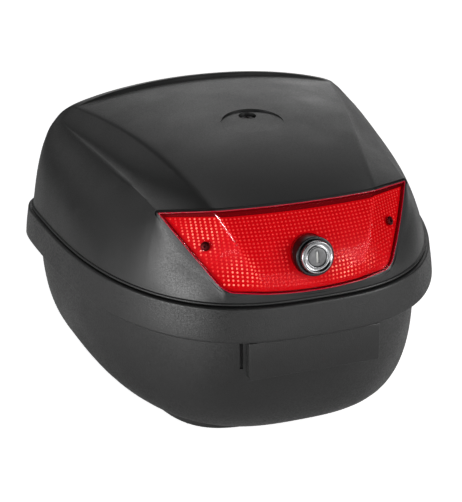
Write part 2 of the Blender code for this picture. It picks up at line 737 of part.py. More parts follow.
def flat_plate(name, half_width, y_rear, y_hinge, z_low, z_high, parent, flare=0.0):
    """A plate with the case's plan shape; flare widens its upper face."""
    bearings = BEARINGS[::2] + math.pi / COLUMNS
    count = len(bearings)
    verts = []
    for z, grow in ((z_low, 0.0), (z_high, flare)):
        x, y = outline(bearings, half_width + grow, y_rear - grow, y_hinge + grow, 4.4)
        verts += [(a, b, z) for a, b in zip(x, y)]
    faces = [tuple(reversed(range(count))), tuple(range(count, 2 * count))]
    for col in range(count):
        nxt = (col + 1) % count
        faces.append((col, nxt, count + nxt, count + col))
    return mesh_object(name, verts, faces, parent)


FRAME_HALF_WIDTH = 132.0
FRAME_REAR_Y = -123.3
FRAME_HINGE_Y = 108.0
FRAME_SCREWS = [(x, y) for x in (-84, 84) for y in (-84, 66)]
FLOOR_TOP_Z = BODY_BOTTOM_Z + WALL


def make_docking():
    top = BODY_BOTTOM_Z - GAP
    frame = flat_plate("docking_frame", FRAME_HALF_WIDTH, FRAME_REAR_Y, FRAME_HINGE_Y, 0, top,
                       CASE, flare=2.4)
    hollow = flat_plate("frame_hollow", FRAME_HALF_WIDTH - 14, FRAME_REAR_Y + 14,
                        FRAME_HINGE_Y - 14, -5, 3.0, CASE)
    combine(frame, hollow)
    combine(frame, box("bolt_channel", (-13.3, -150, 3.2), (13.3, -6, 6.9), CASE))
    combine(frame, box("bolt_window", (-13.3, -100, -1), (13.3, -6, 4), CASE))
    combine(frame, box("frame_slot", (-7, -42, 5), (7, -12, 20), CASE))
    shell = bpy.data.objects["lower_shell"]
    for i, (x, y) in enumerate(FRAME_SCREWS, 1):
        screw(f"docking_screw_{i}", 5.0, DOCKING_SHANK, 8.4, (x, y, FLOOR_TOP_Z + GAP), (0, 0, 1), CASE)
        for piece, label in ((frame, "frame"), (shell, "shell")):
            combine(piece, rod(f"{label}_bore_{i}", DOCKING_BORE, (x, y, -5), (x, y, 20), CASE,
                               sides=12))

    bolt = box("dock_bolt", (-13, -124, 3.5), (13, -46, 6.6), CASE)
    combine(bolt, box("bolt_nose_cut", (-20, -134, 5.2), (20, -116, 8), CASE))
    combine(bolt, box("bolt_slot", (-4.5, -70, 0), (4.5, -52, 10), CASE))
    tongue = box("bolt_tongue", (-4.5, -48, 3.5), (4.5, -27, 6.6), CASE)
    combine(bolt, tongue, "UNION")
    spring = box("dock_bolt_spring", (-12.2, -45.6, 3.6), (-5.8, -6.6, 6.5), CASE)
    return spring


LEVER_Y = -10.0
LEVER_Z = 22.0


def make_release_lever():
    bracket = box("lever_bracket", (-26, -22, FLOOR_TOP_Z + GAP), (26, 12, 15.2), CASE)
    for side in (-1, 1):
        ear = prism("lever_ear", [(-18, 14), (-2, 14), (-4, 27), (-16, 27)], side * 22,
                    side * 25, CASE)
        combine(bracket, ear, "UNION")
    combine(bracket, box("bracket_slot", (-8, -50, 0), (8, -8, 20), CASE))
    bore = rod("lever_bracket_bore", PIN_BORE, (-40, LEVER_Y, LEVER_Z), (40, LEVER_Y, LEVER_Z), CASE,
               sides=16)
    combine(bracket, bore)
    for side, label in ((-1, "left"), (1, "right")):
        screw("lever_screw_" + label, SMALL_HEAD, SMALL_SHANK, 2.0, (side * 15, 6, 15.5), (0, 0, 1), CASE)
        combine(bracket, rod("lever_screw_bore", SMALL_BORE, (side * 15, 6, 0), (side * 15, 6, 30), CASE,
                             sides=12))
    axis = empty("dock_lever_axis", (0, LEVER_Y, LEVER_Z), CASE)
    lever = box("dock_release_lever", (-20, -78, 20), (20, -13, 24.4), axis, bevel=1.2)
    hub = rod("lever_hub", 4.8, (-21.5, LEVER_Y, LEVER_Z), (21.5, LEVER_Y, LEVER_Z), axis)
    combine(lever, hub, "UNION")
    combine(lever, rod("lever_bore", PIN_BORE, (-40, LEVER_Y, LEVER_Z), (40, LEVER_Y, LEVER_Z), axis,
                       sides=16))
    pin = rod("lever_pin", PIN_RADIUS, (-26, LEVER_Y, LEVER_Z), (26, LEVER_Y, LEVER_Z), CASE, sides=16)
    combine(pin, rod("lever_pin_head", 3.3, (-27.6, LEVER_Y, LEVER_Z), (-25.6, LEVER_Y, LEVER_Z),
                     CASE, sides=16), "UNION")


def make_floor_mat():
    mat = flat_plate("floor_mat", 112, -112, 88, FLOOR_TOP_Z + GAP, FLOOR_TOP_Z + 2.3, CASE)
    combine(mat, box("mat_window", (-32, -84, 0), (32, 18, 40), CASE))
    for i, (x, y) in enumerate(FRAME_SCREWS, 1):
        combine(mat, rod(f"mat_hole_{i}", 6.2, (x, y, 0), (x, y, 40), CASE, sides=16))


# ---------------------------------------------------------------- assembly and finishes

def paint():
    finishes = {
        "shell": finish("charcoal_plastic", (0.030, 0.031, 0.034), 0.45),
        "lens": finish("red_lens", (0.55, 0.01, 0.015), 0.08, alpha=0.6),
        "plate": finish("red_reflector", (0.75, 0.04, 0.03), 0.3),
        "chrome": finish("dark_chrome", (0.55, 0.55, 0.56), 0.18, 1.0),
        "steel": finish("zinc_plated_steel", (0.62, 0.62, 0.60), 0.35, 1.0),
        "rubber": finish("black_rubber", (0.018, 0.018, 0.018), 0.8),
        "release": finish("red_plastic", (0.5, 0.02, 0.02), 0.4),
    }
    by_word = (("reflector_lens", "lens"), ("reflector_plate", "plate"), ("seal", "rubber"),
               ("mat", "rubber"), ("release_lever", "release"), ("screw", "steel"),
               ("pin", "steel"), ("spring", "steel"), ("lock", "chrome"), ("latch", "steel"),
               ("keeper", "steel"), ("bolt", "steel"), ("hinge", "shell"), ("bracket", "shell"),
               ("", "shell"))
    for obj in PARTS.objects:
        if obj.type == "EMPTY":
            continue
        word = next(w for w, _ in by_word if w in obj.name)
        obj.data.materials.clear()
        obj.data.materials.append(finishes[dict(by_word)[word]])
        if obj.type == "MESH":
            obj.data.shade_smooth()
            obj.data.set_sharp_from_angle(angle=math.radians(35))


make_lower_shell()
make_lid()
make_lock()
make_latch()
make_keeper()
make_hinges()
ring_band("rim_seal", 9.4, LIP_INSET - GAP, BAND_TOP_Z + GAP, BAND_TOP_Z + 3.2, CASE)
make_docking()
make_release_lever()
make_floor_mat()
paint()
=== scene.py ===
import math

import bmesh
import bpy
import numpy as np
from mathutils import Matrix, Vector


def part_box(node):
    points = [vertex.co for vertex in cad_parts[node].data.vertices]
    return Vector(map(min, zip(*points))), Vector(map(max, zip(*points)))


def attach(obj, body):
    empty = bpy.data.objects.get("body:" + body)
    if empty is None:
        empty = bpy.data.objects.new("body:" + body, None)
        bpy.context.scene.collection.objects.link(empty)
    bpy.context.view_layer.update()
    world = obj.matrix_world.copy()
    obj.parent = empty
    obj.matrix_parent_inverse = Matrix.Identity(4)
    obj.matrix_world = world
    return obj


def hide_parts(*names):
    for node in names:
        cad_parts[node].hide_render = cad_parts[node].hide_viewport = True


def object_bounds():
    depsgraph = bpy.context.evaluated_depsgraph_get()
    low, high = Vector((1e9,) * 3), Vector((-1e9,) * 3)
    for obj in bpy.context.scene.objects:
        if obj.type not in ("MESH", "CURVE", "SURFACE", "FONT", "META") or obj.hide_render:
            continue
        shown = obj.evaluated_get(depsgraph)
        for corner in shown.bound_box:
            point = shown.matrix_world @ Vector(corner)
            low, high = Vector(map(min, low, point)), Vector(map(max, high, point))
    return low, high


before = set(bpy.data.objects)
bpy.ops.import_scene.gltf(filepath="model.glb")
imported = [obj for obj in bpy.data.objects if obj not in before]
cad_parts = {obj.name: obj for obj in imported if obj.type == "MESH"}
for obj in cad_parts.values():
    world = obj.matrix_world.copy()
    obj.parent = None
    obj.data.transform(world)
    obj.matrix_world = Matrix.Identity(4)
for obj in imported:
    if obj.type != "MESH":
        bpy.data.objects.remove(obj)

CAD_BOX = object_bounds()
MM = 0.001
SHIFT = np.array((0.0, -2.2, 0.0))      # case coordinates to the row frame, in millimetres
GAP = 0.3
TURN = 2 * math.pi
SHELL_BLACK = (0.0062, 0.0063, 0.0062)


# ---- mesh helpers

def show(obj):
    bpy.context.scene.collection.objects.link(obj)
    return obj


def pairs(values):
    return zip(values[:-1], values[1:])


def new_object(name, verts, faces, matrix=None):
    """A mesh object from points in case millimetres, or in a local frame with matrix."""
    points = np.asarray(verts, float)
    if matrix is None:
        points = (points + SHIFT) * MM
    else:
        m = np.array(matrix, float)
        points = (points * MM) @ m[:3, :3].T + m[:3, 3]
    mesh = bpy.data.meshes.new(name)
    mesh.from_pydata([tuple(p) for p in points], [], faces)
    mesh.validate()
    obj = show(bpy.data.objects.new(name, mesh))
    bm = bmesh.new()
    bm.from_mesh(mesh)
    bmesh.ops.recalc_face_normals(bm, faces=bm.faces)
    bm.to_mesh(mesh)
    bm.free()
    return obj


def modify(obj, kind, **settings):
    mod = obj.modifiers.new(kind.lower(), kind)
    for key, value in settings.items():
        setattr(mod, key, value)


def solidify(obj, wall, **settings):
    modify(obj, "SOLIDIFY", thickness=wall * MM, offset=-1.0, use_even_offset=False,
                  **settings)


def bevel(obj, width, segments=3, angle=40.0):
    modify(obj, "BEVEL", width=width * MM, segments=segments, limit_method="ANGLE",
                  angle_limit=math.radians(angle))


def combine(obj, tools, operation="DIFFERENCE"):
    for tool in tools:
        modify(obj, "BOOLEAN", operation=operation, solver="EXACT", object=tool)


def bake(obj, smooth=32.0, cutters=()):
    """Applies the modifiers, drops the cutters and smooths what is rounder than an edge."""
    graph = bpy.context.evaluated_depsgraph_get()
    graph.update()
    mesh = bpy.data.meshes.new_from_object(obj.evaluated_get(graph), depsgraph=graph)
    old = obj.data
    obj.modifiers.clear()
    obj.data = mesh
    mesh.name = obj.name
    bpy.data.meshes.remove(old)
    for cutter in cutters:
        bpy.data.objects.remove(cutter, do_unlink=True)
    shade(mesh, smooth)
    return obj


def shade(mesh, smooth):
    mesh.polygons.foreach_set("use_smooth", [True] * len(mesh.polygons))
    mesh.set_sharp_from_angle(angle=math.radians(smooth))
    mesh.update()


def fit(obj, body, slot, materials, *nodes):
    """Puts a finished piece on its body, with its finish and the CAD nodes it stands for."""
    obj.data.materials.clear()
    for mat in materials if isinstance(materials, (list, tuple)) else [materials]:
        obj.data.materials.append(mat)
    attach(obj, body)
    if nodes:
        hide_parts(*nodes)
    return obj


def ring_faces(rows, columns, closed=False, first=0):
    """The quads between rings of columns points each; closed joins the last to the first."""
    return [(first + row * columns + col, first + row * columns + (col + 1) % columns,
             first + (row + 1) % rows * columns + (col + 1) % columns,
             first + (row + 1) % rows * columns + col)
            for row in range(rows if closed else rows - 1) for col in range(columns)]


def tube(name, radius, start, end, sides=48, matrix=None):
    """A closed round bar between two points."""
    start, end = np.array(start, float), np.array(end, float)
    axis = (end - start) / np.linalg.norm(end - start)
    side = np.cross(axis, (0.0, 0.0, 1.0) if abs(axis[2]) < 0.9 else (1.0, 0.0, 0.0))
    side /= np.linalg.norm(side)
    other = np.cross(axis, side)
    turn = np.linspace(0, TURN, sides, endpoint=False)
    ring = np.outer(np.cos(turn), side) + np.outer(np.sin(turn), other)
    verts = np.vstack((start + ring * radius, end + ring * radius))
    caps = [tuple(range(sides))[::-1], tuple(range(sides, 2 * sides))]
    return new_object(name, verts, caps + ring_faces(2, sides), matrix)


def block(name, low, high, matrix=None):
    (a, b, c), (d, e, f) = low, high
    verts = [(a, b, c), (d, b, c), (d, e, c), (a, e, c),
             (a, b, f), (d, b, f), (d, e, f), (a, e, f)]
    faces = [(3, 2, 1, 0), (4, 5, 6, 7), (0, 1, 5, 4), (1, 2, 6, 5), (2, 3, 7, 6), (3, 0, 4, 7)]
    return new_object(name, verts, faces, matrix)


def spun(name, profile, matrix, steps=96, closed=False):
    """A profile of (radius, height) turned round the local Z axis; radius 0 closes it."""
    turn = np.linspace(0, TURN, steps, endpoint=False)
    rows, verts = [], []
    for radius, height in profile:
        if radius <= 1e-9:
            rows.append([len(verts)] * steps)
            verts.append((0, 0, height))
        else:
            rows.append(list(range(len(verts), len(verts) + steps)))
            verts += [(radius * math.cos(a), radius * math.sin(a), height) for a in turn]
    faces = []
    for low, high in pairs(rows + rows[:1] if closed else rows):
        for i in range(steps):
            j = (i + 1) % steps
            face = [low[i], low[j], high[j], high[i]]
            face = [k for n, k in enumerate(face) if k not in face[:n]]
            if len(face) > 2:
                faces.append(tuple(face))
    return new_object(name, verts, faces, matrix)


# ---- case shape (millimetres)

DEPTH, HALF_WIDTH = 390.5, 200.0
LID_INSET, LID_EDGE_Z = 4.7, 158.3
RIM_COLUMNS = 224
RIM_WIDEST, RIM_TAPER = 79.0, 0.23      # how far back it is widest, and how it narrows
HINGE_POWER, REAR_POWER = 4.17, 2.83    # how square the rim is towards the hinges and lock
SHELL_WALL = 2.8
LIP_V, LIP_RUN, LIP_RISE = 0.962, 0.014, 5.0
GROOVE_V, GROOVE_HALF, GROOVE_DEPTH = 0.955, 0.008, 1.6
POCKET_DEPTH = 6.5                      # of the recess that the reflector sits in
CREASE_SOFTNESS, NORMAL_STEP = 0.05, 0.02
# How the lid's wall leaves its border beside v: the share of its way out and of its drop.
WALL_FALL = ((-1.0, 0.40, 0.34), (0.0, 0.42, 0.33), (0.3, 0.62, 0.25), (1.0, 0.78, 0.17))
FRONT_FALL, SKIRT_FALL = (0.85, 0.85, 0.10), (0.88, 0.88, 0.69)
BORDER_LENGTHS = 74.0, 258.0            # of the border beside the reflector and the roof
WALL_BLEND, BLEND_END = 36.0, 0.35      # how far kinks are spread, from that w on


def superellipse(half_width, depth, shift, rear_power, samples=2880):
    angle = np.linspace(0, TURN, samples, endpoint=False)
    c, s = np.cos(angle), np.sin(angle)
    power = np.where(s < 0, rear_power, HINGE_POWER)
    reach = np.where(s < 0, depth / 2 + shift, depth / 2 - shift)
    x = np.sign(c) * np.abs(c) ** (2 / power)
    y = reach * np.sign(s) * np.abs(s) ** (2 / power) + shift
    x *= 1 + RIM_TAPER * y / depth
    return x * half_width / np.abs(x).max(), y


def outline(bearings, half_width, y_rear, y_hinge, rear_power=REAR_POWER):
    """The case's plan shape: its X and Y at each bearing from the middle."""
    depth = y_hinge - y_rear
    x, y = superellipse(half_width, depth, RIM_WIDEST * depth / DEPTH, rear_power)
    y = y + (y_hinge + y_rear) / 2
    found = np.mod(np.arctan2(y, x), TURN)
    order = np.argsort(found)
    wanted = np.mod(bearings, TURN)
    return (np.interp(wanted, found[order], x[order], period=TURN),
            np.interp(wanted, found[order], y[order], period=TURN))


def rim_outline(bearings, inset):
    half = DEPTH / 2 - inset
    return outline(bearings, HALF_WIDTH - inset, -half, half)


def rounded(t, power):
    return (1 - (1 - t) ** power) ** (1 / power)


def bearings_of(columns):
    """Bearings that are evenly spread along the rim rather than in angle."""
    fine = np.linspace(0, TURN, 2881)
    x, y = rim_outline(fine, 0.0)
    x[-1], y[-1] = x[0], y[0]
    along = np.concatenate(([0], np.cumsum(np.hypot(np.diff(x), np.diff(y)))))
    return np.interp(np.linspace(0, along[-1], columns, endpoint=False), along, fine)


def bezier(start, pull, end, t):
    t = np.asarray(t)[..., None]
    return (np.array(start) * (1 - t) ** 2 + np.array(pull) * 2 * t * (1 - t)
            + np.array(end) * t * t)


def centre_line(v):
    face = bezier((0, -191.5, 166.5), (0, -190.5, 197), (0, -147, 233.5), v + 1)
    y = -147 + 295 * v
    roof = np.stack((0 * v, y, 281 - 47.5 * (np.abs(y - 62) / 209) ** 2.37), -1)
    return np.where((v <= 0)[..., None], face, roof)


def crease_line(v):
    face = bezier((47, -188, 168), (56, -187, 200), (76.6, -143, 234.2), v + 1)
    y = -143 + 282 * v
    roof = np.stack((76.6 + 67.4 * np.clip(v, 0, 1) ** 1.05, y,
                     264.5 - 30.3 * (np.abs(y - 65) / 208) ** 2.2), -1)
    return np.where((v <= 0)[..., None], face, roof)


def side_line(v):
    face = bezier((79, -177, 170), (102, -148, 200), (120.7, -113.5, 228), v + 1)
    c = np.clip(v, 0, 1)
    roof = np.stack((120.7 + 39.3 * c ** 1.15, -113.5 + 248.5 * v, 228 + 19 * c ** 0.8), -1)
    return np.where((v <= 0)[..., None], face, roof)


def raw_top(u, v):
    """The lid's outer surface: u is 0 in the middle, 1 at the crease and 2 at the edge; v
    runs from -1 to 0 up the reflector and from 0 to 1 back along the roof."""
    across = np.abs(u)
    mid, crease, edge = centre_line(v), crease_line(v), side_line(v)
    a = np.minimum(across, 1.0)
    x = crease[..., 0] * a
    y = mid[..., 1] + (crease[..., 1] - mid[..., 1]) * a ** 2
    z = mid[..., 2] + (crease[..., 2] - mid[..., 2]) * a ** 2.2
    rise = np.clip((v - LIP_V) / LIP_RUN, 0, 1)
    rise = rise * rise * (3 - 2 * rise)
    crescent = np.sqrt(np.clip(1 - a ** 2, 0, 1))
    groove = np.clip(1 - np.abs(v - GROOVE_V) / GROOVE_HALF, 0, 1)
    z = z + (LIP_RISE * rise - GROOVE_DEPTH * groove * groove * (3 - 2 * groove)) * crescent
    inner = np.stack((x, y, z), -1)
    w = np.clip(across - 1, 0, 1)
    hollow = 1 + 0.9 * np.sin(math.pi * np.clip(v, 0, 1)) ** 0.7
    outer = crease + (edge - crease) * w[..., None]
    outer[..., 2] = crease[..., 2] + (edge[..., 2] - crease[..., 2]) * (1 - (1 - w) ** hollow)
    point = np.where((across <= 1)[..., None], inner, outer)
    point[..., 0] = np.copysign(point[..., 0], u)
    return point


def lid_top(u, v):
    """The lid's outer surface, with its creases rounded over a small part of its width."""
    u, v = np.asarray(u, float), np.asarray(v, float)
    reach = CREASE_SOFTNESS * np.clip((2 - np.abs(u)) / 0.2, 0, 1)
    total = 0
    for offset, weight in ((-1, 0.16), (-0.5, 0.21), (0, 0.26), (0.5, 0.21), (1, 0.16)):
        total = total + raw_top(u + offset * reach, v) * weight
    return total


def lid_normal(u, v):
    u, v = np.asarray(u, float), np.asarray(v, float)
    u0, u1 = np.maximum(u - NORMAL_STEP, -2), np.minimum(u + NORMAL_STEP, 2)
    v0, v1 = np.maximum(v - NORMAL_STEP, -1), np.minimum(v + NORMAL_STEP, 0)
    n = np.cross(lid_top(u1, v) - lid_top(u0, v), lid_top(u, v1) - lid_top(u, v0))
    return n / np.linalg.norm(n, axis=-1, keepdims=True)


def lid_foot(top):
    x, y = rim_outline(np.arctan2(top[..., 1], top[..., 0]), LID_INSET)
    return np.stack((x, y, np.full_like(x, LID_EDGE_Z)), -1)


def raw_wall(u, v, w):
    top = lid_top(u, v)
    foot = lid_foot(top)
    out = foot - top
    w = np.asarray(w)[..., None]
    beside = np.clip((np.abs(u) - 1.5) * 2, 0, 1)
    stops = np.array(WALL_FALL)
    fall = np.stack([np.interp(v, stops[:, 0], stops[:, n]) for n in (1, 1, 2)], -1)
    front = np.array(FRONT_FALL)
    shoulder = top + out * (front + (fall - front) * beside[..., None])
    skirt = top + out * SKIRT_FALL
    return (top * (1 - w) ** 3 + shoulder * 3 * w * (1 - w) ** 2
            + skirt * 3 * w * w * (1 - w) + foot * w ** 3)


def lid_wall(u, v, w):
    """The lid's side: w runs from the border of its top to its lower edge. Kinks in the
    border fade out below it."""
    u, v, w = np.broadcast_arrays(*(np.asarray(a, float) for a in (u, v, w)))
    low, high = BORDER_LENGTHS
    place = np.where(v < 0, v * low, v * high)
    room = np.clip(np.minimum(place + low, high - place), 0, None)
    fade = np.clip(w / BLEND_END, 0, 1)
    reach = np.minimum(WALL_BLEND * fade * fade * (3 - 2 * fade), room)
    reach = np.where(np.abs(u) > 1.999, reach, 0.0)
    total, feet, weights = 0, 0, 0
    for step in (-0.83, -0.5, -0.17, 0.17, 0.5, 0.83):
        at = place + step * reach
        moved = np.where(at < 0, at / low, at / high)
        weight = math.cos(step * math.pi / 2) ** 2 + 0.2
        total = total + raw_wall(u, moved, w) * weight
        feet = feet + lid_foot(lid_top(u, moved)) * weight
        weights += weight
    own = lid_foot(lid_top(u, v))
    return total / weights + (own - feet / weights) * w[..., None] ** 2


CORNER_U, CORNER_V = 0.26, 0.13         # size of the reflector's rounded lower corners


def corner(u, v):
    """Pulls the points near the reflector's two lower corners in to a round corner."""
    u, v = np.asarray(u, float), np.asarray(v, float)
    a = (np.abs(u) - (2 - CORNER_U)) / CORNER_U
    b = ((-1 + CORNER_V) - v) / CORNER_V
    inside = (a > 0) & (b > 0)
    length = np.where(inside, np.sqrt(a * a + b * b), 1.0)
    k = np.where(inside, np.maximum(a, b) / np.maximum(length, 1e-9), 1.0)
    uu = np.where(inside, np.copysign(2 - CORNER_U + a * k * CORNER_U, u), u)
    vv = np.where(inside, -1 + CORNER_V - b * k * CORNER_V, v)
    return uu, vv


# ---- lid

def spread(*stops):
    """A run of numbers: (start, end, count) for each stretch, joined without repeats."""
    parts = [np.linspace(a, b, n, endpoint=False) for a, b, n in stops]
    return np.round(np.concatenate(parts + [[stops[-1][1]]]), 5)


LID_US = spread((-2, -1.74, 5), (-1.74, -1.12, 9), (-1.12, -0.88, 12), (-0.88, 0.88, 40),
                (0.88, 1.12, 12), (1.12, 1.74, 9), (1.74, 2, 5))
POCKET_VS = spread((-1, -1 + CORNER_V, 5), (-1 + CORNER_V, 0, 12))
LENS_VS = spread((-1, -0.84, 6), (-0.84, 0, 16))
ROOF_VS = spread((0, 0.03, 3), (0.03, 0.935, 56), (0.935, 0.98, 22), (0.98, 1.0, 5))
WALL_WS = spread((0, 0.1, 3), (0.1, 1.0, 20))


def lid_mesh():
    """Points, faces and finishes of the lid's outer skin, with the reflector's pocket."""
    keys, faces, tints = {}, [], []

    def at(kind, u, v, w=0.0):
        key = (kind, round(float(u), 5), round(float(v), 5), round(float(w), 5))
        return keys.setdefault(key, len(keys))

    def rim(u, v):
        uu, vv = corner(u, v)
        same = abs(uu - u) < 1e-6 and abs(vv - v) < 1e-6
        return at("skin", u, v) if same else at("rim", u, v)

    def face(tint, *loop):
        loop = [k for n, k in enumerate(loop) if k not in loop[:n]]
        if len(loop) > 2:
            faces.append(tuple(loop))
            tints.append(tint)

    def quad(tint, kind, u0, u1, v0, v1):
        face(tint, *(at(kind, u, v) for u, v in ((u0, v0), (u1, v0), (u1, v1), (u0, v1))))

    for u0, u1 in pairs(LID_US):
        for v0, v1 in pairs(ROOF_VS):
            quad(int(min(abs(u0), abs(u1)) >= 0.999), "skin", u0, u1, v0, v1)
        for v0, v1 in pairs(POCKET_VS):
            quad(1, "floor", u0, u1, v0, v1)
        face(1, rim(u0, -1), rim(u1, -1), at("floor", u1, -1), at("floor", u0, -1))
        face(1, at("floor", u0, 0), at("floor", u1, 0), at("skin", u1, 0), at("skin", u0, 0))
        face(1, at("skin", u0, -1), at("skin", u1, -1), rim(u1, -1), rim(u0, -1))
    for v0, v1 in pairs(POCKET_VS):
        face(1, rim(2, v0), rim(2, v1), at("floor", 2, v1), at("floor", 2, v0))
        face(1, at("skin", 2, v0), at("skin", 2, v1), rim(2, v1), rim(2, v0))
        face(1, at("floor", -2, v0), at("floor", -2, v1), rim(-2, v1), rim(-2, v0))
        face(1, rim(-2, v0), rim(-2, v1), at("skin", -2, v1), at("skin", -2, v0))

    vs = list(POCKET_VS) + list(ROOF_VS[1:])
    loop = [(u, -1.0) for u in LID_US] + [(2.0, v) for v in vs[1:]]
    loop += [(u, 1.0) for u in LID_US[::-1][1:]] + [(-2.0, v) for v in vs[::-1][1:-1]]
    for i, (ua, va) in enumerate(loop):
        ub, vb = loop[(i + 1) % len(loop)]
        above = (at("skin", ua, va), at("skin", ub, vb))
        for w in WALL_WS[1:]:
            below = (at("wall", ua, va, w), at("wall", ub, vb, w))
            face(1, below[0], below[1], above[1], above[0])
            above = below

    table = list(keys)
    u, v, w = (np.array([k[n] for k in table]) for n in (1, 2, 3))
    kind = np.array([k[0] for k in table])
    cu, cv = corner(u, np.minimum(v, 0))
    points = lid_top(u, v)
    points = np.where((kind == "rim")[:, None], lid_top(cu, cv), points)
    sunk = lid_top(cu, cv) - lid_normal(cu, cv) * POCKET_DEPTH
    points = np.where((kind == "floor")[:, None], sunk, points)
    points = np.where((kind == "wall")[:, None], lid_wall(u, v, w), points)
    return points, faces, tints


LOCK_PLACE, LOCK_TILT = (0.0, -196.1, 199.7), 77.0      # of the lock's face
LOCK_MATRIX = (Matrix.Translation(Vector((np.array(LOCK_PLACE) + SHIFT) * MM))
               @ Matrix.Rotation(math.radians(LOCK_TILT), 4, "X"))
LOCK_HOLE = 17.9
TOP_SCREW = 0, -7
RECESS_RADIUS, BOSS_RADIUS, SCREW_WELL = 30.3, 33, 8.6
LENS_BORE, LENS_WELL = 2.0, 4.6         # radii for the reflector's two screws


def lens_screw_seat(side):
    u, v = np.array(1.62 * side), np.array(-0.40)
    return lid_top(u, v), lid_normal(u, v)


def lens_screw_tools(radius, inner=-20, sides=24):
    """Bars that cut the holes of the reflector's screws."""
    return [tube("hole", radius, point + out * inner, point + out * 5, sides=sides)
            for point, out in map(lens_screw_seat, (-1, 1))]


def make_lid(shell_mats):
    verts, faces, tints = lid_mesh()
    lid = new_object("lid", verts, faces)
    for poly, tint in zip(lid.data.polygons, tints):
        poly.material_index = tint
    bevel(lid, 1.0, segments=4, angle=48)
    solidify(lid, SHELL_WALL)
    boss = tube("boss", BOSS_RADIUS, (0, -27.5, 268), (0, -27.5, 275.6), sides=96)
    front = block("front", (-40, -70, 260), (40, -16, 280))
    combine(boss, [front])
    cut = [tube("recess", RECESS_RADIUS, (-0.6, -25.2, 273.3), (-0.6, -28.1, 299.3), sides=128),
           tube("well", SCREW_WELL, (*TOP_SCREW, 271), (*TOP_SCREW, 280), sides=64),
           tube("bore", 3.0, (*TOP_SCREW, 260), (*TOP_SCREW, 275), sides=32),
           tube("lock", LOCK_HOLE, (0, 0, -60), (0, 0, 5), sides=96, matrix=LOCK_MATRIX)]
    cut += lens_screw_tools(LENS_BORE)
    combine(lid, [boss], "UNION")
    combine(lid, cut)
    bake(lid, 34, [boss, front] + cut)
    return fit(lid, "lid", "shell_plastic", shell_mats, "lid_shell")


# ---- reflector

LENS_WALL = 2.4


def lens_patch(name, depth, trim_u, trim_low, trim_high):
    """A curved sheet set in from the reflector's outline, depth under the lid's surface."""
    uu, vv = np.meshgrid(LID_US, LENS_VS)
    uu = uu * (1 - trim_u / 2)
    vv = -1 + trim_low + (vv + 1) * (1 - trim_low - trim_high)
    cu, cv = corner(uu, vv)
    points = lid_top(cu, cv) - lid_normal(cu, cv) * depth
    n, m = len(LID_US), len(LENS_VS)
    faces = [(r * n + c, r * n + c + 1, (r + 1) * n + c + 1, (r + 1) * n + c)
             for r in range(m - 1) for c in range(n - 1)]
    return new_object(name, points.reshape(-1, 3), faces)


def lock_tool(radius):
    return tube("lock_cut", radius, (0, 0, -60), (0, 0, 6), sides=96, matrix=LOCK_MATRIX)


def make_lens(lens_mat, rim_mat):
    """The clear lens, its rim in a second finish, and the bead round its border."""
    lens = lens_patch("lens", 0.0, 0.010, 0.005, 0.002)
    solidify(lens, LENS_WALL, material_offset_rim=1)
    cut = ([lock_tool(LOCK_HOLE)] + lens_screw_tools(LENS_BORE)
           + lens_screw_tools(LENS_WELL, -1.3, 48))
    combine(lens, cut)
    bevel(lens, 0.3, segments=2, angle=50)
    bake(lens, 40, cut)
    lens = fit(lens, "lid", "red_lens", [lens_mat, rim_mat], "reflector_lens")

    us, vs = np.linspace(-2, 2, 161), np.linspace(-1, 0, 61)
    loop = ([(u, -1.0) for u in us] + [(2.0, v) for v in vs[1:]]
            + [(u, 0.0) for u in us[::-1][1:]] + [(-2.0, v) for v in vs[::-1][1:]])
    u, v = corner(*(np.array(loop).T * 0.994))
    v = np.clip(v, -0.992, -0.004)
    bead = swept("lens_border", lid_top(u, v) - lid_normal(u, v) * 0.35, 0.62, sides=8)
    fit(bead, "lid", "red_lens", rim_mat)
    return lens


PRISM_PITCH, PRISM_RADIUS, PRISM_RISE = 3.75, 0.92, 0.55
PRISM_STEPS = (1.0, 0.0), (0.78, 0.5), (0.42, 0.88)     # shares of its radius and rise
PRISM_MARGIN = 5.2                      # to the reflector's outline
LOCK_CLEAR, SCREW_CLEAR = 21.5, 6.2
PLATE_DEPTH, PLATE_WALL = 3.25, 2.0


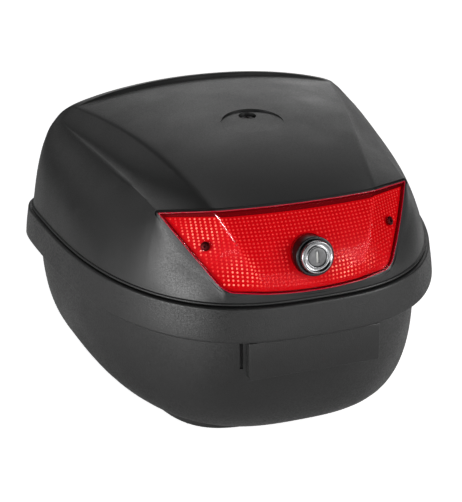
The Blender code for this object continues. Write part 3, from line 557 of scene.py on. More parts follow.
def make_prisms(plate_mat, prism_mat):
    """The reflector's inner plate with its field of small round prisms."""
    plate = lens_patch("reflector_back", PLATE_DEPTH, 0.050, 0.030, 0.050)
    solidify(plate, PLATE_WALL)
    cut = [lock_tool(LOCK_HOLE + GAP)] + lens_screw_tools(3.2)
    combine(plate, cut)
    bake(plate, 40, cut)
    fit(plate, "lid", "red_reflector", plate_mat, "reflector_plate")

    lock_axis = np.array((LOCK_MATRIX.col[2][:3]))
    lock_point = np.array(LOCK_MATRIX.translation) / MM - SHIFT
    seats = [lens_screw_seat(side)[0] for side in (-1, 1)]
    samples = np.linspace(-1, 0, 400)
    height = np.linalg.norm(np.diff(lid_top(np.zeros(400), samples), axis=0), axis=1)
    along = np.concatenate(([0], np.cumsum(height)))
    rows = int((along[-1] - 9.4) // PRISM_PITCH)
    turn = np.linspace(0, TURN, 10, endpoint=False)
    n = len(turn)
    verts, faces = [], []
    for row in range(rows):
        v = float(np.interp(PRISM_MARGIN + (row + 0.5) * PRISM_PITCH, along, samples))
        crease, edge = crease_line(np.array(v))[0], side_line(np.array(v))[0]
        reach = edge - PRISM_MARGIN
        if v < -1 + CORNER_V:
            reach -= 6 * ((-1 + CORNER_V - v) / CORNER_V) ** 2
        for col in range(-int(reach // PRISM_PITCH), int(reach // PRISM_PITCH) + 1):
            x = col * PRISM_PITCH
            u = x / crease if abs(x) <= crease else math.copysign(
                1 + (abs(x) - crease) / (edge - crease), x)
            point, out = lid_top(u, v), lid_normal(u, v)
            away = point - lock_point
            away = away - lock_axis * (away @ lock_axis)
            near_screw = min(np.linalg.norm(point - s) for s in seats)
            if np.linalg.norm(away) < LOCK_CLEAR or near_screw < SCREW_CLEAR:
                continue
            base = point - out * (PLATE_DEPTH + 0.1)
            side = np.cross((0, 0, 1.0), out)
            side /= np.linalg.norm(side)
            up = np.cross(out, side)
            start = len(verts)
            for k, rise in PRISM_STEPS:
                for a in turn:
                    verts.append(base + (side * math.cos(a) + up * math.sin(a))
                                 * PRISM_RADIUS * k + out * (PRISM_RISE * rise + 0.1 * k))
            verts.append(base + out * (PRISM_RISE + 0.1))
            faces += ring_faces(3, n, first=start)
            top = start + 2 * n
            faces += [(top + i, top + (i + 1) % n, start + 3 * n) for i in range(n)]
    prisms = new_object("reflector_prisms", verts, faces)
    shade(prisms.data, 80)
    return fit(prisms, "lid", "red_reflector", prism_mat)


# ---- lower shell

BODY_TS = np.concatenate((np.linspace(0, 0.03, 5), np.linspace(0.05, 1, 26)))
BODY_INSET = 9.6                        # of the tapered body's top, from the rim
BODY_Z, BODY_RISE, BAND_Z, BAND_FINISH_Z = 10, 112, 124.6, 125.4
FLOOR_HALF, FLOOR_REAR, FLOOR_HINGE = 135.5, -140.5, 126
# The band round the rim, from below: inset from the rim and height.
BAND_PROFILE = (
    (8.9, 125.3), (8.0, 125.5), (-2.9, 125.6), (-3.5, 125.75), (-3.95, 126.15), (-4.2, 126.8),
    (-4.1, 128.0), (-3.6, 133.0), (-2.2, 143.0), (-0.6, 152.5), (-0.25, 155.0), (-0.1, 155.8),
    (0.2, 156.5), (0.7, 157.0), (1.3, 157.25), (2.0, 157.3), (6.0, 157.3), (11.4, 157.3),
    (11.7, 157.6), (11.7, 159.5), (11.7, 161.2), (12.0, 161.5))
PANEL_HALF, PANEL_LOW = 62.5, 88
DOCK_SCREWS = [(x, y) for x in (-84, 84) for y in (-84, 66)]
BOLT_SLOT = 7, -42, -12                 # half width, and where it starts and ends in Y


def shell_rings(bearings):
    """The lower shell's outside, as rings of X, Y and height from the bottom up."""
    rings = []
    for t in BODY_TS:
        side, rear, hinge = (rounded(t, p) for p in (2.6, 1.83, 2.6))
        half = FLOOR_HALF + (HALF_WIDTH - BODY_INSET - FLOOR_HALF) * side
        y_rear = FLOOR_REAR + (-(DEPTH / 2 - BODY_INSET) - FLOOR_REAR) * rear
        y_hinge = FLOOR_HINGE + (DEPTH / 2 - BODY_INSET - FLOOR_HINGE) * hinge
        x, y = outline(bearings, half, y_rear, y_hinge, 2.9 - 0.45 * t)
        rings.append((x, y, BODY_Z + BODY_RISE * t))
    rings.append((x, y, BAND_Z))
    for inset, z in BAND_PROFILE:
        rings.append((*rim_outline(bearings, inset), z))
    return rings


def body_rear_y(x, z):
    """Y of the shell's outer face under the band, at x from the middle and at height z."""
    rear = np.linspace(math.pi, TURN, 721)
    heights, ys = zip(*((height, np.interp(-x, xs, ys))
                        for xs, ys, height in shell_rings(rear)[:len(BODY_TS)]))
    return float(np.interp(z, heights, ys))


def dock_bores():
    return [tube("bore", 2.6, (x, y, -5), (x, y, 20), sides=24) for x, y in DOCK_SCREWS]


def make_lower_shell(mats):
    rings = shell_rings(bearings_of(RIM_COLUMNS))
    verts = [(a, b, z) for x, y, z in rings for a, b in zip(x, y)]
    faces = [tuple(reversed(range(RIM_COLUMNS)))] + ring_faces(len(rings), RIM_COLUMNS)
    shell = new_object("lower_case", verts, faces)
    for poly in shell.data.polygons:
        poly.material_index = int(poly.center.z / MM > BAND_FINISH_Z)
    solidify(shell, SHELL_WALL)
    panel = block("panel", (-PANEL_HALF, -192.4, PANEL_LOW), (PANEL_HALF, -183.6, BAND_Z))
    for vert in panel.data.vertices:
        if vert.co.y > -0.190 and vert.co.z < 0.1:
            vert.co.y = -0.183
    bevel(panel, 0.9, segments=3, angle=30)
    half, start, end = BOLT_SLOT
    slot = block("slot", (-half, start, 0), (half, end, 30))
    groove = block("groove", (-65.6, -200, 91), (-62.7, 0, 124.2))
    for vert in groove.data.vertices:
        if vert.co.y > -0.1:
            vert.co.y = (body_rear_y(64.0, vert.co.z / MM) + 1.7 + SHIFT[1]) * MM
    cut = [slot, groove] + dock_bores()
    combine(shell, [panel], "UNION")
    combine(shell, cut)
    bake(shell, 30, [panel] + cut)
    return fit(shell, "base", "shell_plastic", mats, "lower_shell")


def ring_of(name, profile):
    """A closed profile of (inset from the rim, height) carried round the rim."""
    bearings = bearings_of(RIM_COLUMNS)
    verts = []
    for inset, z in profile:
        x, y = rim_outline(bearings, inset)
        verts += [(a, b, z) for a, b in zip(x, y)]
    ring = new_object(name, verts, ring_faces(len(profile), RIM_COLUMNS, closed=True))
    shade(ring.data, 60)
    return ring


def make_lid_edge(mat):
    """The bead that stiffens the lid's lower edge."""
    bead = ring_of("lid_edge", [
        (6.4, 158.35), (3.9, 158.35), (3.45, 158.6), (3.3, 159.2), (3.4, 159.9), (3.8, 160.4),
        (4.6, 160.7), (6.4, 160.8)])
    return fit(bead, "lid", "shell_plastic", mat)


def make_seal(mat):
    profile = [(9.9, 157.6), (9.4, 158.1), (9.4, 159.6), (9.7, 160.3), (10.4, 160.5),
               (11.1, 160.3), (11.4, 159.6), (11.4, 158.1), (10.9, 157.6)]
    seal = ring_of("seal", profile)
    return fit(seal, "base", "rubber", mat, "rim_seal")


# ---- lock

def make_lock(chrome, dark, steel, keyhole):
    button = spun("lock_button_body", [
        (8.8, -2.2), (8.8, -1.0), (8.95, -0.75), (9.2, -0.65), (9.5, -0.7), (9.75, -0.95),
        (10.1, -1.45), (10.8, -1.6), (11.8, -1.35), (12.6, -0.8), (13.0, -0.3), (13.2, -0.06),
        (13.45, 0.0), (13.75, -0.06), (14.05, -0.3), (14.35, -0.8), (14.55, -1.5), (14.6, -2.2),
        (14.6, -22.0), (8.8, -22.0)], LOCK_MATRIX, steps=128, closed=True)
    to_lock = LOCK_MATRIX.inverted()
    for poly in button.data.polygons:
        middle = to_lock @ poly.center / MM
        radius = math.hypot(middle.x, middle.y)
        ring = 13.05 < radius < 13.95 or 8.9 < radius < 9.65
        poly.material_index = 0 if ring and middle.z > -1.3 else 1
    shade(button.data, 70)
    fit(button, "lock_barrel", "dark_chrome", [chrome, dark], "lock_button")

    plug = spun("lock_plug_body", [
        (0, -1.2), (7.7, -1.2), (8.1, -1.3), (8.35, -1.55), (8.4, -2.0), (8.4, -26), (3.4, -26),
        (3.4, -48.9), (1.6, -51.2), (0, -51.2)], LOCK_MATRIX, steps=128)
    slot = block("keyway", (-1.35, -5.2, -8), (1.35, 5.2, 3), LOCK_MATRIX)
    bevel(slot, 0.5, segments=3, angle=30)
    combine(plug, [slot])
    bevel(plug, 0.18, segments=2, angle=50)
    bake(plug, 40, [slot])
    fit(plug, "lock_cylinder", "lock_black", dark, "lock_plug")
    shutter = block("key_shutter", (-1.2, -5.05, -3.0), (1.2, 5.05, -1.6), LOCK_MATRIX)
    bevel(shutter, 0.45, segments=3, angle=30)
    bake(shutter, 40)
    fit(shutter, "lock_cylinder", "zinc_steel", steel)

    housing = spun("lock_collar", [
        (14.9, -6.5), (15.05, -6.15), (15.4, -6.0), (16.9, -6.0), (17.35, -6.2), (17.6, -6.7),
        (17.6, -46), (9.0, -46), (9.0, -43), (14.9, -43)], LOCK_MATRIX, steps=128, closed=True)
    shade(housing.data, 60)
    fit(housing, "lid", "dark_chrome", keyhole, "lock_housing")

    coils, radius, start, length, wire = 5.5, 12.2, -23.6, 17.6, 0.9
    path = np.linspace(0, 1, 241)
    turn = path * TURN * coils
    centre = np.stack((radius * np.cos(turn), radius * np.sin(turn), start - length * path), -1)
    coil = swept("return_spring", centre, wire, LOCK_MATRIX)
    fit(coil, "lid", "zinc_steel", steel, "lock_spring")


def swept(name, centre, radius, matrix=None, sides=10):
    """A round wire along a line of points."""
    tangent = np.gradient(centre, axis=0)
    tangent /= np.linalg.norm(tangent, axis=1, keepdims=True)
    side = np.cross(tangent, (0, 0, 1.0))
    side /= np.linalg.norm(side, axis=1, keepdims=True)
    up = np.cross(tangent, side)
    verts = []
    turn = np.linspace(0, TURN, sides, endpoint=False)
    for p, s, q in zip(centre, side, up):
        verts += [p + (s * math.cos(a) + q * math.sin(a)) * radius for a in turn]
    faces = ring_faces(len(centre), sides)
    faces.append(tuple(range(sides)))
    faces.append(tuple(range(len(verts) - sides, len(verts)))[::-1])
    obj = new_object(name, verts, faces, matrix)
    shade(obj.data, 60)
    return obj


# ---- screws

def frame_at(position, direction):
    """A local frame whose Z axis points along direction, from a point in case millimetres."""
    turn = Vector(direction).to_track_quat("Z", "Y").to_matrix().to_4x4()
    return Matrix.Translation(Vector((np.array(position) + SHIFT) * MM)) @ turn


def make_screw(node, matrix, head, rise, shank, length, body, mat, slot="zinc_steel"):
    """A pan-head screw with a cross recess, its head's underside at the frame's origin."""
    body_mesh = spun(node + "_turned", [
        (0, rise), (head * 0.45, rise * 0.985), (head * 0.72, rise * 0.90),
        (head * 0.90, rise * 0.68), (head * 0.985, rise * 0.38), (head, rise * 0.12),
        (head * 0.985, 0.0), (shank, 0.0), (shank, -length + 0.4), (shank * 0.6, -length),
        (0, -length)], matrix, steps=48)
    depth, arm, half = rise * 0.72, head * 0.56, head * 0.13
    tools = []
    for dx, dy in ((arm, half), (half, arm)):
        tool = block("cross", (-dx, -dy, rise - depth), (dx, dy, rise + 1), matrix)
        lower = matrix.inverted()
        for vert in tool.data.vertices:
            local = lower @ vert.co
            if local.z / MM < rise:
                local.x *= 0.55
                local.y *= 0.55
                vert.co = matrix @ local
        tools.append(tool)
    combine(body_mesh, tools)
    bevel(body_mesh, head * 0.02, segments=1, angle=50)
    bake(body_mesh, 35, tools)
    return fit(body_mesh, body, slot, mat, node)


def upright_screw(node, axis, head, rise, shank, body, mat):
    """A screw along +Y or +Z, placed where its CAD node is."""
    low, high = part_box(node)
    position = (low + high) / 2
    position[axis] = high[axis] - rise * MM
    direction = [0.0, 0.0, 0.0]
    direction[axis] = 1.0
    length = (high[axis] - low[axis]) / MM - rise
    make_screw(node, frame_at(np.array(position) / MM - SHIFT, direction), head, rise, shank,
               length, body, mat)


ARM_X, ARM_Z, ARM_WALL = 82.0, 182.0, 4.5       # where the hinge arms meet the lid
TOP_SCREW_Z = 271.3


def lid_back_y(z):
    """Y of the lid's back wall at height z, above a hinge arm."""
    ws = np.linspace(0, 1, 161)
    points = lid_wall(np.full(161, ARM_X / 148), np.ones(161), ws)
    return float(np.interp(z, points[::-1, 2], points[::-1, 1]))


def make_screws(black, tinted, steel):
    for side, label in ((-1, "left"), (1, "right")):
        point, out = lens_screw_seat(side)
        make_screw("lens_screw_" + label, frame_at(point - out * 1.0, out), 4.2, 1.6, 1.6, 4.6,
                   "lid", tinted)
        for place in ("inner", "outer"):
            upright_screw(f"hinge_screw_{label}_{place}", 1, 3.6, 1.1, 1.7, "base", steel)
        upright_screw("keeper_screw_" + label, 1, 3.4, 1.8, 1.6, "base", steel)
        upright_screw("lever_screw_" + label, 2, 3.6, 1.8, 1.7, "base", steel)
        slope = (lid_back_y(ARM_Z - 4) - lid_back_y(ARM_Z + 4)) / 8
        out = np.array((0.0, 1.0, slope)) / math.hypot(1.0, slope)
        seat = np.array((ARM_X * side, lid_back_y(ARM_Z) + ARM_WALL, ARM_Z))
        make_screw("lid_arm_screw_" + label, frame_at(seat + out * GAP, out), 3.6, 1.4, 1.7,
                   2.6, "lid", steel)
    make_screw("top_recess_screw", frame_at((*TOP_SCREW, TOP_SCREW_Z), (0, 0, 1)), 7.2, 2.4,
               2.6, 9.0, "lid", black)
    for number in range(1, 5):
        upright_screw(f"docking_screw_{number}", 2, 5.0, 1.8, 2.2, "base", steel)


# ---- docking frame and mat

PLATE_POWER = 4.4
STUD_PITCH = 8.0
MAT_WINDOW = 32, -84, 18                # half width, and where it starts and ends in Y


def plan_plate(name, half_width, y_rear, y_hinge, layers, columns=160):
    """A plate in the case's plan shape; layers are (height, growth) from below."""
    bearings = np.linspace(0, TURN, columns, endpoint=False)
    verts = []
    for z, grow in layers:
        x, y = outline(bearings, half_width + grow, y_rear - grow, y_hinge + grow, PLATE_POWER)
        verts += [(a, b, z) for a, b in zip(x, y)]
    last = (len(layers) - 1) * columns
    caps = [tuple(reversed(range(columns))), tuple(range(last, last + columns))]
    return new_object(name, verts, caps + ring_faces(len(layers), columns))


def make_docking(mat):
    """The frame under the shell, with the bolt's channel and stiffening ribs."""
    top = BODY_Z - GAP
    half, start, end = BOLT_SLOT
    plate = plan_plate("docking_plate", 132, -123.3, 108,
                       [(0, -1.2), (0.4, -0.4), (1.2, 0.0), (8.9, 2.1), (top, 2.0)])
    hollow = plan_plate("hollow", 118, -109.3, 94, [(-5, 0), (3.0, -1.5)])
    tools = [hollow, block("channel", (-13.3, -150, 3.2), (13.3, -6, 6.9)),
             block("window", (-13.3, -100, -1), (13.3, -6, 4)),
             block("slot", (-half, start, 5), (half, end, 20))] + dock_bores()
    combine(plate, tools)
    bake(plate, 30, tools)
    fit(plate, "base", "shell_plastic", mat, "docking_frame")
    for i, x in enumerate((-96, -72, -48, -24, 24, 48, 72, 96)):
        rib = block(f"frame_rib_{i}", (x - 1, -100, 0.9), (x + 1, 86, 3.3))
        bevel(rib, 0.3, segments=2)
        bake(rib, 40)
        fit(rib, "base", "shell_plastic", mat)


def make_mat(mat):
    """The rubber mat on the case's floor, with a field of raised studs."""
    plate = plan_plate("mat_sheet", 112, -112, 88,
                       [(13.1, -0.6), (13.5, 0), (14.0, 0), (14.4, -0.5)])
    half, near, far = MAT_WINDOW
    tools = [block("window", (-half, near, 0), (half, far, 40))]
    for x, y in DOCK_SCREWS:
        tools.append(tube("hole", 6.2, (x, y, 0), (x, y, 40), sides=48))
    combine(plate, tools)
    bake(plate, 30, tools)
    fit(plate, "base", "rubber", mat, "floor_mat")
    verts, faces = [], []
    fine = np.linspace(0, TURN, 721)
    edge = np.hypot(*outline(fine, 108, -108, 84, PLATE_POWER))
    for i in range(-14, 15):
        for j in range(-28, 23):
            x = (i + 0.5 * (j % 2)) * STUD_PITCH
            y = j * STUD_PITCH * 0.5
            bearing = math.atan2(y, x) % TURN
            if math.hypot(x, y) > np.interp(bearing, fine, edge) - 3:
                continue
            if abs(x) < half + 4 and near - 4 < y < far + 4:
                continue
            if min(math.hypot(x - a, y - b) for a, b in DOCK_SCREWS) < 9.5:
                continue
            start = len(verts)
            for size, z in ((2.9, 14.2), (1.9, 15.1)):
                verts += [(x - size, y, z), (x, y - size * 0.55, z), (x + size, y, z),
                          (x, y + size * 0.55, z)]
            faces += ring_faces(2, 4, first=start)
            faces.append((start + 4, start + 5, start + 6, start + 7))
            faces.append((start + 3, start + 2, start + 1, start))
    studs = new_object("mat_studs", verts, faces)
    fit(studs, "base", "rubber", mat)


# ---- materials

class Graph:
    """A Principled material with short calls for its nodes."""

    def __init__(self, name, colour, roughness, metallic=0.0, **constants):
        self.mat = bpy.data.materials.new(name)
        self.mat.use_nodes = True
        self.tree = self.mat.node_tree
        self.shader = self.tree.nodes["Principled BSDF"]
        self.shader.inputs["Base Color"].default_value = (*colour, 1.0)
        self.shader.inputs["Roughness"].default_value = roughness
        self.shader.inputs["Metallic"].default_value = metallic
        for key, value in constants.items():
            self.shader.inputs[key.replace("_", " ")].default_value = value
        self.mat.diffuse_color = (*colour, 1.0)
        self.place = self.node("ShaderNodeTexCoord").outputs["Object"]

    def feed(self, socket, value):
        if isinstance(value, bpy.types.NodeSocket):
            self.tree.links.new(value, socket)
        elif socket.type == "RGBA":
            socket.default_value = (*value, 1.0)
        else:
            socket.default_value = value

    def node(self, kind, sockets=None, **settings):
        """A new node; sockets gives its inputs, as numbers or as outputs to link."""
        made = self.tree.nodes.new(kind)
        for key, value in settings.items():
            setattr(made, key, value)
        for key, value in (sockets or {}).items():
            self.feed(made.inputs[key], value)
        return made

    def scaled(self, scale, turn):
        return self.node("ShaderNodeMapping", {
            "Scale": scale, "Rotation": turn, "Vector": self.place}).outputs["Vector"]

    def noise(self, scale, detail=3.0, roughness=0.55, vector=None):
        return self.node("ShaderNodeTexNoise", {
            "Scale": scale, "Detail": detail, "Roughness": roughness,
            "Vector": vector or self.place}).outputs["Fac"]

    def near(self, place, inner, outer):
        """1 within inner metres of a place, falling to 0 at outer."""
        away = self.node("ShaderNodeVectorMath", {0: self.place, 1: place},
                         operation="DISTANCE")
        return self.span(away.outputs["Value"], inner, outer, 1.0, 0.0)

    def span(self, value, low, high, to_low=0.0, to_high=1.0):
        return self.node("ShaderNodeMapRange", {
            "Value": value, "From Min": low, "From Max": high, "To Min": to_low,
            "To Max": to_high}, interpolation_type="SMOOTHSTEP").outputs["Result"]

    def maths(self, operation, a, b):
        return self.node("ShaderNodeMath", {0: a, 1: b}, operation=operation).outputs[0]

    def blend(self, factor, a, b):
        return self.node("ShaderNodeMix", {0: factor, 6: a, 7: b},
                         data_type="RGBA").outputs[2]

    def bump(self, height, depth, normal=None):
        sockets = {"Strength": 1.0, "Distance": depth * MM, "Height": height}
        if normal is not None:
            sockets["Normal"] = normal
        return self.node("ShaderNodeBump", sockets).outputs["Normal"]

    def put(self, **outputs):
        for key, output in outputs.items():
            self.feed(self.shader.inputs[key.replace("_", " ")], output)
        return self.mat


SCUFF_PLACE = (-0.159, 0.055, 0.234)    # the rubbed patch on the lid's left shoulder
SCUFF_GREY = (0.24, 0.24, 0.24)


def moulded(name, colour, roughness, grain=900.0, depth=0.05, wave=0.25, scuffs=0.0,
            speckle=0.22):
    """Injection-moulded plastic: a stippled grain, slow waves, mottling and rubbed marks."""
    g = Graph(name, colour, roughness, Specular_IOR_Level=0.5)
    fine = g.noise(grain, detail=2.0, roughness=0.6)
    cloud = g.noise(22.0, detail=4.0)
    wide = g.noise(5.0, detail=2.0)
    dust = g.span(g.noise(420.0, detail=4.0), 0.62, 0.78)
    dark, light = (tuple(c * k for c in colour) for k in (0.84, 1.2))
    tone = g.blend(cloud, dark, light)
    tone = g.blend(g.maths("MULTIPLY", dust, speckle), tone, tuple(c * 3.0 for c in colour))
    pores = g.noise(grain * 0.7, detail=1.0)
    rough = g.span(g.maths("ADD", g.maths("MULTIPLY", cloud, 0.4),
                           g.maths("MULTIPLY", pores, 0.6)),
                   0.3, 0.7, roughness - 0.05 - speckle * 0.2, roughness + 0.05 + speckle * 0.25)
    if scuffs:
        streak = g.noise(1.0, detail=3.0, roughness=0.7,
                         vector=g.scaled((420.0, 560.0, 16.0), (0.35, 0.25, 0.1)))
        patch = g.near(SCUFF_PLACE, 0.02, 0.055)
        patch = g.maths("MULTIPLY", patch, g.span(g.noise(40.0, detail=2.0), 0.36, 0.55))
        mask = g.maths("MULTIPLY", g.span(streak, 0.57, 0.66), patch)
        mask = g.maths("MULTIPLY", mask, scuffs)
        tone = g.blend(mask, tone, SCUFF_GREY)
    normal = g.bump(fine, depth)
    normal = g.bump(wide, wave, normal=normal)
    return g.put(Base_Color=tone, Roughness=rough, Normal=normal)


def metal(name, colour, roughness, grime=0.3):
    """Plated or bare metal with a faint grain, cloudy tarnish and small pits."""
    g = Graph(name, colour, roughness, 1.0)
    cloud = g.noise(140.0, detail=5.0)
    fine = g.noise(2600.0, detail=2.0)
    pits = g.span(g.noise(900.0, detail=3.0), 0.66, 0.74)
    tone = g.blend(g.span(cloud, 0.35, 0.7), colour, tuple(c * (1 - grime) for c in colour))
    tone = g.blend(g.maths("MULTIPLY", pits, 0.15), tone, tuple(c * 0.3 for c in colour))
    rough = g.span(cloud, 0.3, 0.75, roughness, roughness + 0.16)
    return g.put(Base_Color=tone, Roughness=rough, Normal=g.bump(fine, 0.012))


def rubber(name):
    g = Graph(name, (0.018, 0.018, 0.018), 0.78, Specular_IOR_Level=0.3)
    fine = g.noise(1500.0, detail=3.0)
    cloud = g.noise(30.0, detail=4.0)
    tone = g.blend(cloud, (0.013, 0.013, 0.013), (0.032, 0.031, 0.030))
    rough = g.span(cloud, 0.3, 0.7, 0.68, 0.86)
    return g.put(Base_Color=tone, Roughness=rough, Normal=g.bump(fine, 0.04))


def red_plastic(name, colour, roughness, glow=0.0):
    """Opaque red plastic; glow stands for the light that corner prisms send straight back."""
    g = Graph(name, colour, roughness)
    cloud = g.noise(45.0, detail=3.0)
    fine = g.noise(1100.0, detail=2.0)
    tone = g.blend(cloud, tuple(c * 0.88 for c in colour), tuple(c * 1.08 for c in colour))
    rough = g.span(cloud, 0.3, 0.7, roughness - 0.04, roughness + 0.08)
    if glow:
        g.shader.inputs["Emission Strength"].default_value = glow
        g.put(Emission_Color=tone)
    return g.put(Base_Color=tone, Roughness=rough, Normal=g.bump(fine, 0.02))


def clear_red(name, through, body, share, roughness=0.04):
    """Transparent tinted plastic: through is the tint that passes light, share how much of
    the body's own colour shows square on."""
    g = Graph(name, body, roughness, IOR=1.49)
    cloud = g.noise(60.0, detail=3.0)
    wave = g.noise(14.0, detail=2.0)
    rough = g.span(cloud, 0.35, 0.7, roughness, roughness + 0.05)
    tone = g.blend(cloud, tuple(c * 0.9 for c in body), body)
    g.put(Base_Color=tone, Roughness=rough, Normal=g.bump(wave, 0.12))
    clear = g.node("ShaderNodeBsdfTransparent", {"Color": through})
    facing = g.node("ShaderNodeLayerWeight", {"Blend": 0.5})
    glance = g.maths("POWER", facing.outputs["Facing"], 4.0)
    amount = g.maths("ADD", g.maths("MULTIPLY", glance, 0.8), share)
    mix = g.node("ShaderNodeMixShader",
                 {0: amount, 1: clear.outputs[0], 2: g.shader.outputs[0]})
    g.feed(g.tree.nodes["Material Output"].inputs["Surface"], mix.outputs[0])
    return g.mat


# Painted highlights: fixed patches where the prisms are painted cream, as if they flashed
# brightest there: the middle of each patch and its radius, in metres.
PAINTED_FLASHES = (((-0.086, -0.142, 0.213), 0.026), ((-0.066, -0.180, 0.183), 0.024),
           ((0.030, -0.192, 0.184), 0.020), ((0.060, -0.186, 0.184), 0.012))
# Colours of the prisms' painted glow and of their painted cream highlights.
PAINTED_PRISM_GLOW, PAINTED_FLASH_CREAM = (0.42, 0.076, 0.058), (1.0, 0.84, 0.50)


def prism_red(name):
    """The prisms carry an even painted glow, and fixed patches of them carry painted cream
    highlights.
    """
    g = Graph(name, (0.60, 0.09, 0.07), 0.16, 0.0)
    cloud = g.noise(300.0, detail=2.0)
    rough = g.span(cloud, 0.3, 0.7, 0.10, 0.24)
    painted_flash = None
    # Painted highlights: the prisms turn cream in fixed patches, whatever the light.
    for middle, radius in PAINTED_FLASHES:
        near = g.near(middle, radius * 0.3, radius)
        painted_flash = near if painted_flash is None else g.maths("MAXIMUM", painted_flash, near)
    twinkle = g.span(g.noise(210.0, detail=1.0), 0.38, 0.62, 0.35, 1.0)
    tone = g.blend(g.maths("MULTIPLY", painted_flash, twinkle), PAINTED_PRISM_GLOW, PAINTED_FLASH_CREAM)
    # Emission paints the light: the prisms glow and show their cream highlights though they are
    # no lamp.
    g.shader.inputs["Emission Strength"].default_value = 1.3
    return g.put(Base_Color=tone, Roughness=rough, Emission_Color=tone)


# ---- carried-over CAD nodes

def dress(node, mat, edge=0.0):
    """Gives a CAD node its finish and, with edge, slightly rounded edges."""
    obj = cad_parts[node]
    obj.data.materials.clear()
    obj.data.materials.append(mat)
    obj.data.polygons.foreach_set("use_smooth", [True] * len(obj.data.polygons))
    obj.data.set_sharp_from_angle(angle=math.radians(28))
    if edge:
        bevel(obj, edge, segments=2, angle=32)


# ---- stage

SHEET_HALF, SHEET_CELLS = 7.0, 24
LIGHT_AIM, LIGHT_REACH = Vector((0, 0, 0.14)), 2.1
# Softboxes: compass bearing from the front, height angle and watts.
SOFTBOX_SIZE = 1.3, 1.0
SOFTBOXES = (
    ("left_low", 292, 4, 44), ("front_right", 45, 22, 34), ("front_low", 0, 4, 10.8),
    ("side_left", 270, 4, 5.4), ("back_high", 157, 42, 4.4), ("back_low", 166, 4, 4.6),
    ("back_middle", 180, 42, 2.9), ("side_left_high", 270, 22, 2.5), ("back_left", 225, 22, 2.0),
    ("top_right", 120, 66, 1.9), ("back_right", 135, 22, 1.9), ("right_low", 140, 4, 1.6))


def make_sheet(name, rise, colour, glow):
    """A wide level sheet of the studio, in one quad per cell."""
    mesh = bpy.data.meshes.new(name)
    half, n = SHEET_HALF, SHEET_CELLS
    verts = [(half * (2 * i / n - 1), half * (2 * j / n - 1), rise)
             for j in range(n + 1) for i in range(n + 1)]
    faces = [(j * (n + 1) + i, j * (n + 1) + i + 1, (j + 1) * (n + 1) + i + 1,
              (j + 1) * (n + 1) + i) for j in range(n) for i in range(n)]
    mesh.from_pydata(verts, [], faces)
    sheet = show(bpy.data.objects.new(name, mesh))
    mat = bpy.data.materials.new(name)
    mat.use_nodes = True
    shader = mat.node_tree.nodes["Principled BSDF"]
    shader.inputs["Base Color"].default_value = (*colour, 1)
    shader.inputs["Roughness"].default_value = 0.9
    shader.inputs["Specular IOR Level"].default_value = 0.1
    shader.inputs["Emission Color"].default_value = (1, 1, 1, 1)
    shader.inputs["Emission Strength"].default_value = glow
    sheet.data.materials.append(mat)
    return sheet


def make_floor():
    """A bounce sheet that lights the case, over a backlit sheet that the camera sees."""
    bounce = make_sheet("bounce_sheet", 0.0, (0.93, 0.93, 0.93), 0.0)
    bounce.visible_camera = False
    bounce.visible_shadow = False
    backlit = make_sheet("floor", -0.001, (0.8, 0.8, 0.8), 0.86)
    backlit.visible_diffuse = backlit.visible_glossy = False


def toward(bearing, height):
    """The direction at a bearing from the front, turning to +X, and at a height angle."""
    turn, rise = math.radians(bearing), math.radians(height)
    return Vector((math.sin(turn) * math.cos(rise), -math.cos(turn) * math.cos(rise),
                   math.sin(rise)))


def area_light(name, bearing, height, power, size):
    data = bpy.data.lights.new(name, "AREA")
    data.shape = "RECTANGLE"
    data.size, data.size_y = size
    data.energy = power
    obj = show(bpy.data.objects.new(name, data))
    away = toward(bearing, height)
    obj.location = LIGHT_AIM + away * LIGHT_REACH
    obj.rotation_euler = (-away).to_track_quat("-Z", "Y").to_euler()
    obj.visible_camera = False
    return obj


def make_lights(lens):
    """Softboxes round the case, and a strip that only the reflector's lens catches, as a
    streak down its fold."""
    world = bpy.data.worlds.new("studio")
    world.use_nodes = True
    back = world.node_tree.nodes["Background"]
    back.inputs["Color"].default_value = (1, 1, 1, 1)
    back.inputs["Strength"].default_value = 0.0
    bpy.context.scene.world = world
    for name, bearing, height, power in SOFTBOXES:
        area_light(name, bearing, height, power, SOFTBOX_SIZE)
    strip = area_light("strip", 315, 45, 340, (0.32, 1.1))
    lit = bpy.data.collections.new("strip_lit")
    lit.objects.link(lens)
    strip.light_linking.receiver_collection = lit


def make_camera():
    """The photo's viewpoint; the numbers come from fitting a camera to its rim and sides."""
    low, high = CAD_BOX
    target = (low + high) / 2
    target.y += SHIFT[1] * MM
    target.z = 0.124
    roll = math.radians(-0.93)
    back = toward(-18.19, 22.69)
    level = (-back).cross(Vector((0, 0, 1))).normalized()
    upward = level.cross(-back)
    right = level * math.cos(roll) + upward * math.sin(roll)
    up = upward * math.cos(roll) - level * math.sin(roll)
    data = bpy.data.cameras.new("camera")
    data.sensor_width = 36.0
    data.lens = 90.26
    data.shift_x, data.shift_y = -0.0324, 0.0104
    data.clip_start, data.clip_end = 0.05, 50
    camera = show(bpy.data.objects.new("camera", data))
    turn = Matrix((right, up, back)).transposed().to_4x4()
    camera.matrix_world = Matrix.Translation(target + back * 1.2916) @ turn
    bpy.context.scene.camera = camera
    bpy.context.scene.view_settings.view_transform = "Standard"


# ---- assembly

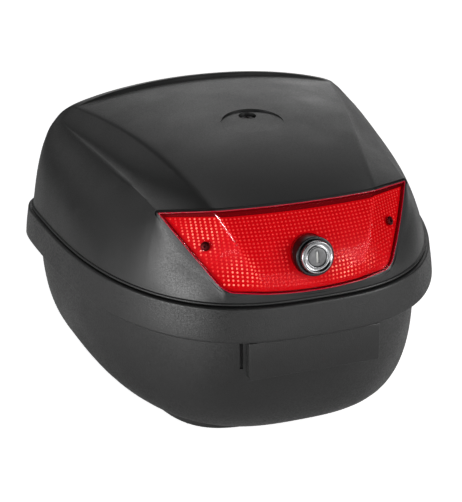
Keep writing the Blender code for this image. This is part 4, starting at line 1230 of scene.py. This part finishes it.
SMOOTH_BLACK = moulded("shell_smooth", SHELL_BLACK, 0.42, grain=1300.0, depth=0.02)
GRAINED_BLACK = moulded("shell_grained", SHELL_BLACK, 0.45, grain=760.0, depth=0.15, scuffs=0.9,
                        speckle=0.4)
BAND_BLACK = moulded("band_grained", SHELL_BLACK, 0.46, grain=600.0, depth=0.42, speckle=1.0)
FRAME_BLACK = moulded("frame_plastic", (0.016, 0.016, 0.016), 0.58, grain=1200.0, depth=0.04)
PART_BLACK = moulded("black_nylon", (0.014, 0.014, 0.014), 0.50, grain=1600.0, depth=0.02)
LENS_RED = clear_red("lens_red", (0.95, 0.57, 0.61), (0.16, 0.001, 0.003), 0.06)
LENS_EDGE = clear_red("lens_edge_red", (0.95, 0.10, 0.22), (0.42, 0.004, 0.024), 0.85, 0.12)
PLATE_RED = red_plastic("reflector_red", (0.62, 0.009, 0.017), 0.34, glow=0.10)
PRISM_RED = prism_red("prism_red")
DARK_CHROME = metal("dark_chrome", (0.40, 0.40, 0.41), 0.16)
DARK_FACE = metal("lock_dark_face", (0.15, 0.15, 0.152), 0.40, grime=0.2)
COLLAR_BLACK = metal("lock_collar_black", (0.035, 0.036, 0.038), 0.24, grime=0.2)
ZINC = metal("zinc_plate", (0.62, 0.62, 0.60), 0.28)
SHUTTER = metal("shutter_steel", (0.42, 0.42, 0.41), 0.30)
SCREW_BLACK = metal("screw_black", (0.016, 0.014, 0.014), 0.30)
SCREW_TINTED = metal("screw_tinted", (0.060, 0.006, 0.007), 0.36)
RUBBER = rubber("seal_rubber")
LEVER_RED = red_plastic("lever_red", (0.55, 0.012, 0.016), 0.42)

make_lid([SMOOTH_BLACK, GRAINED_BLACK])
LENS = make_lens(LENS_RED, LENS_EDGE)
make_prisms(PLATE_RED, PRISM_RED)
make_lower_shell([GRAINED_BLACK, BAND_BLACK])
make_lid_edge(GRAINED_BLACK)
make_seal(RUBBER)
make_lock(DARK_CHROME, DARK_FACE, SHUTTER, COLLAR_BLACK)
make_screws(SCREW_BLACK, SCREW_TINTED, ZINC)
make_docking(FRAME_BLACK)
make_mat(RUBBER)
for names, finish, edge in (
        (("lock_wedge_washer",), PART_BLACK, 0.5),
        (("lock_nut", "lock_cam", "latch_frame", "keeper_bracket"), ZINC, 0.3),
        (("latch_pin", "hinge_pin_left", "hinge_pin_right", "lever_pin"), ZINC, 0.2),
        (("latch_hook", "dock_bolt", "dock_bolt_spring"), ZINC, 0.3),
        (("hinge_bracket_left", "hinge_bracket_right"), PART_BLACK, 0.5),
        (("lid_hinge_arm_left", "lid_hinge_arm_right"), PART_BLACK, 0.5),
        (("lever_bracket",), PART_BLACK, 0.4),
        (("dock_release_lever",), LEVER_RED, 0.6)):
    for node in names:
        dress(node, finish, edge)
make_floor()
make_lights(LENS)
make_camera()
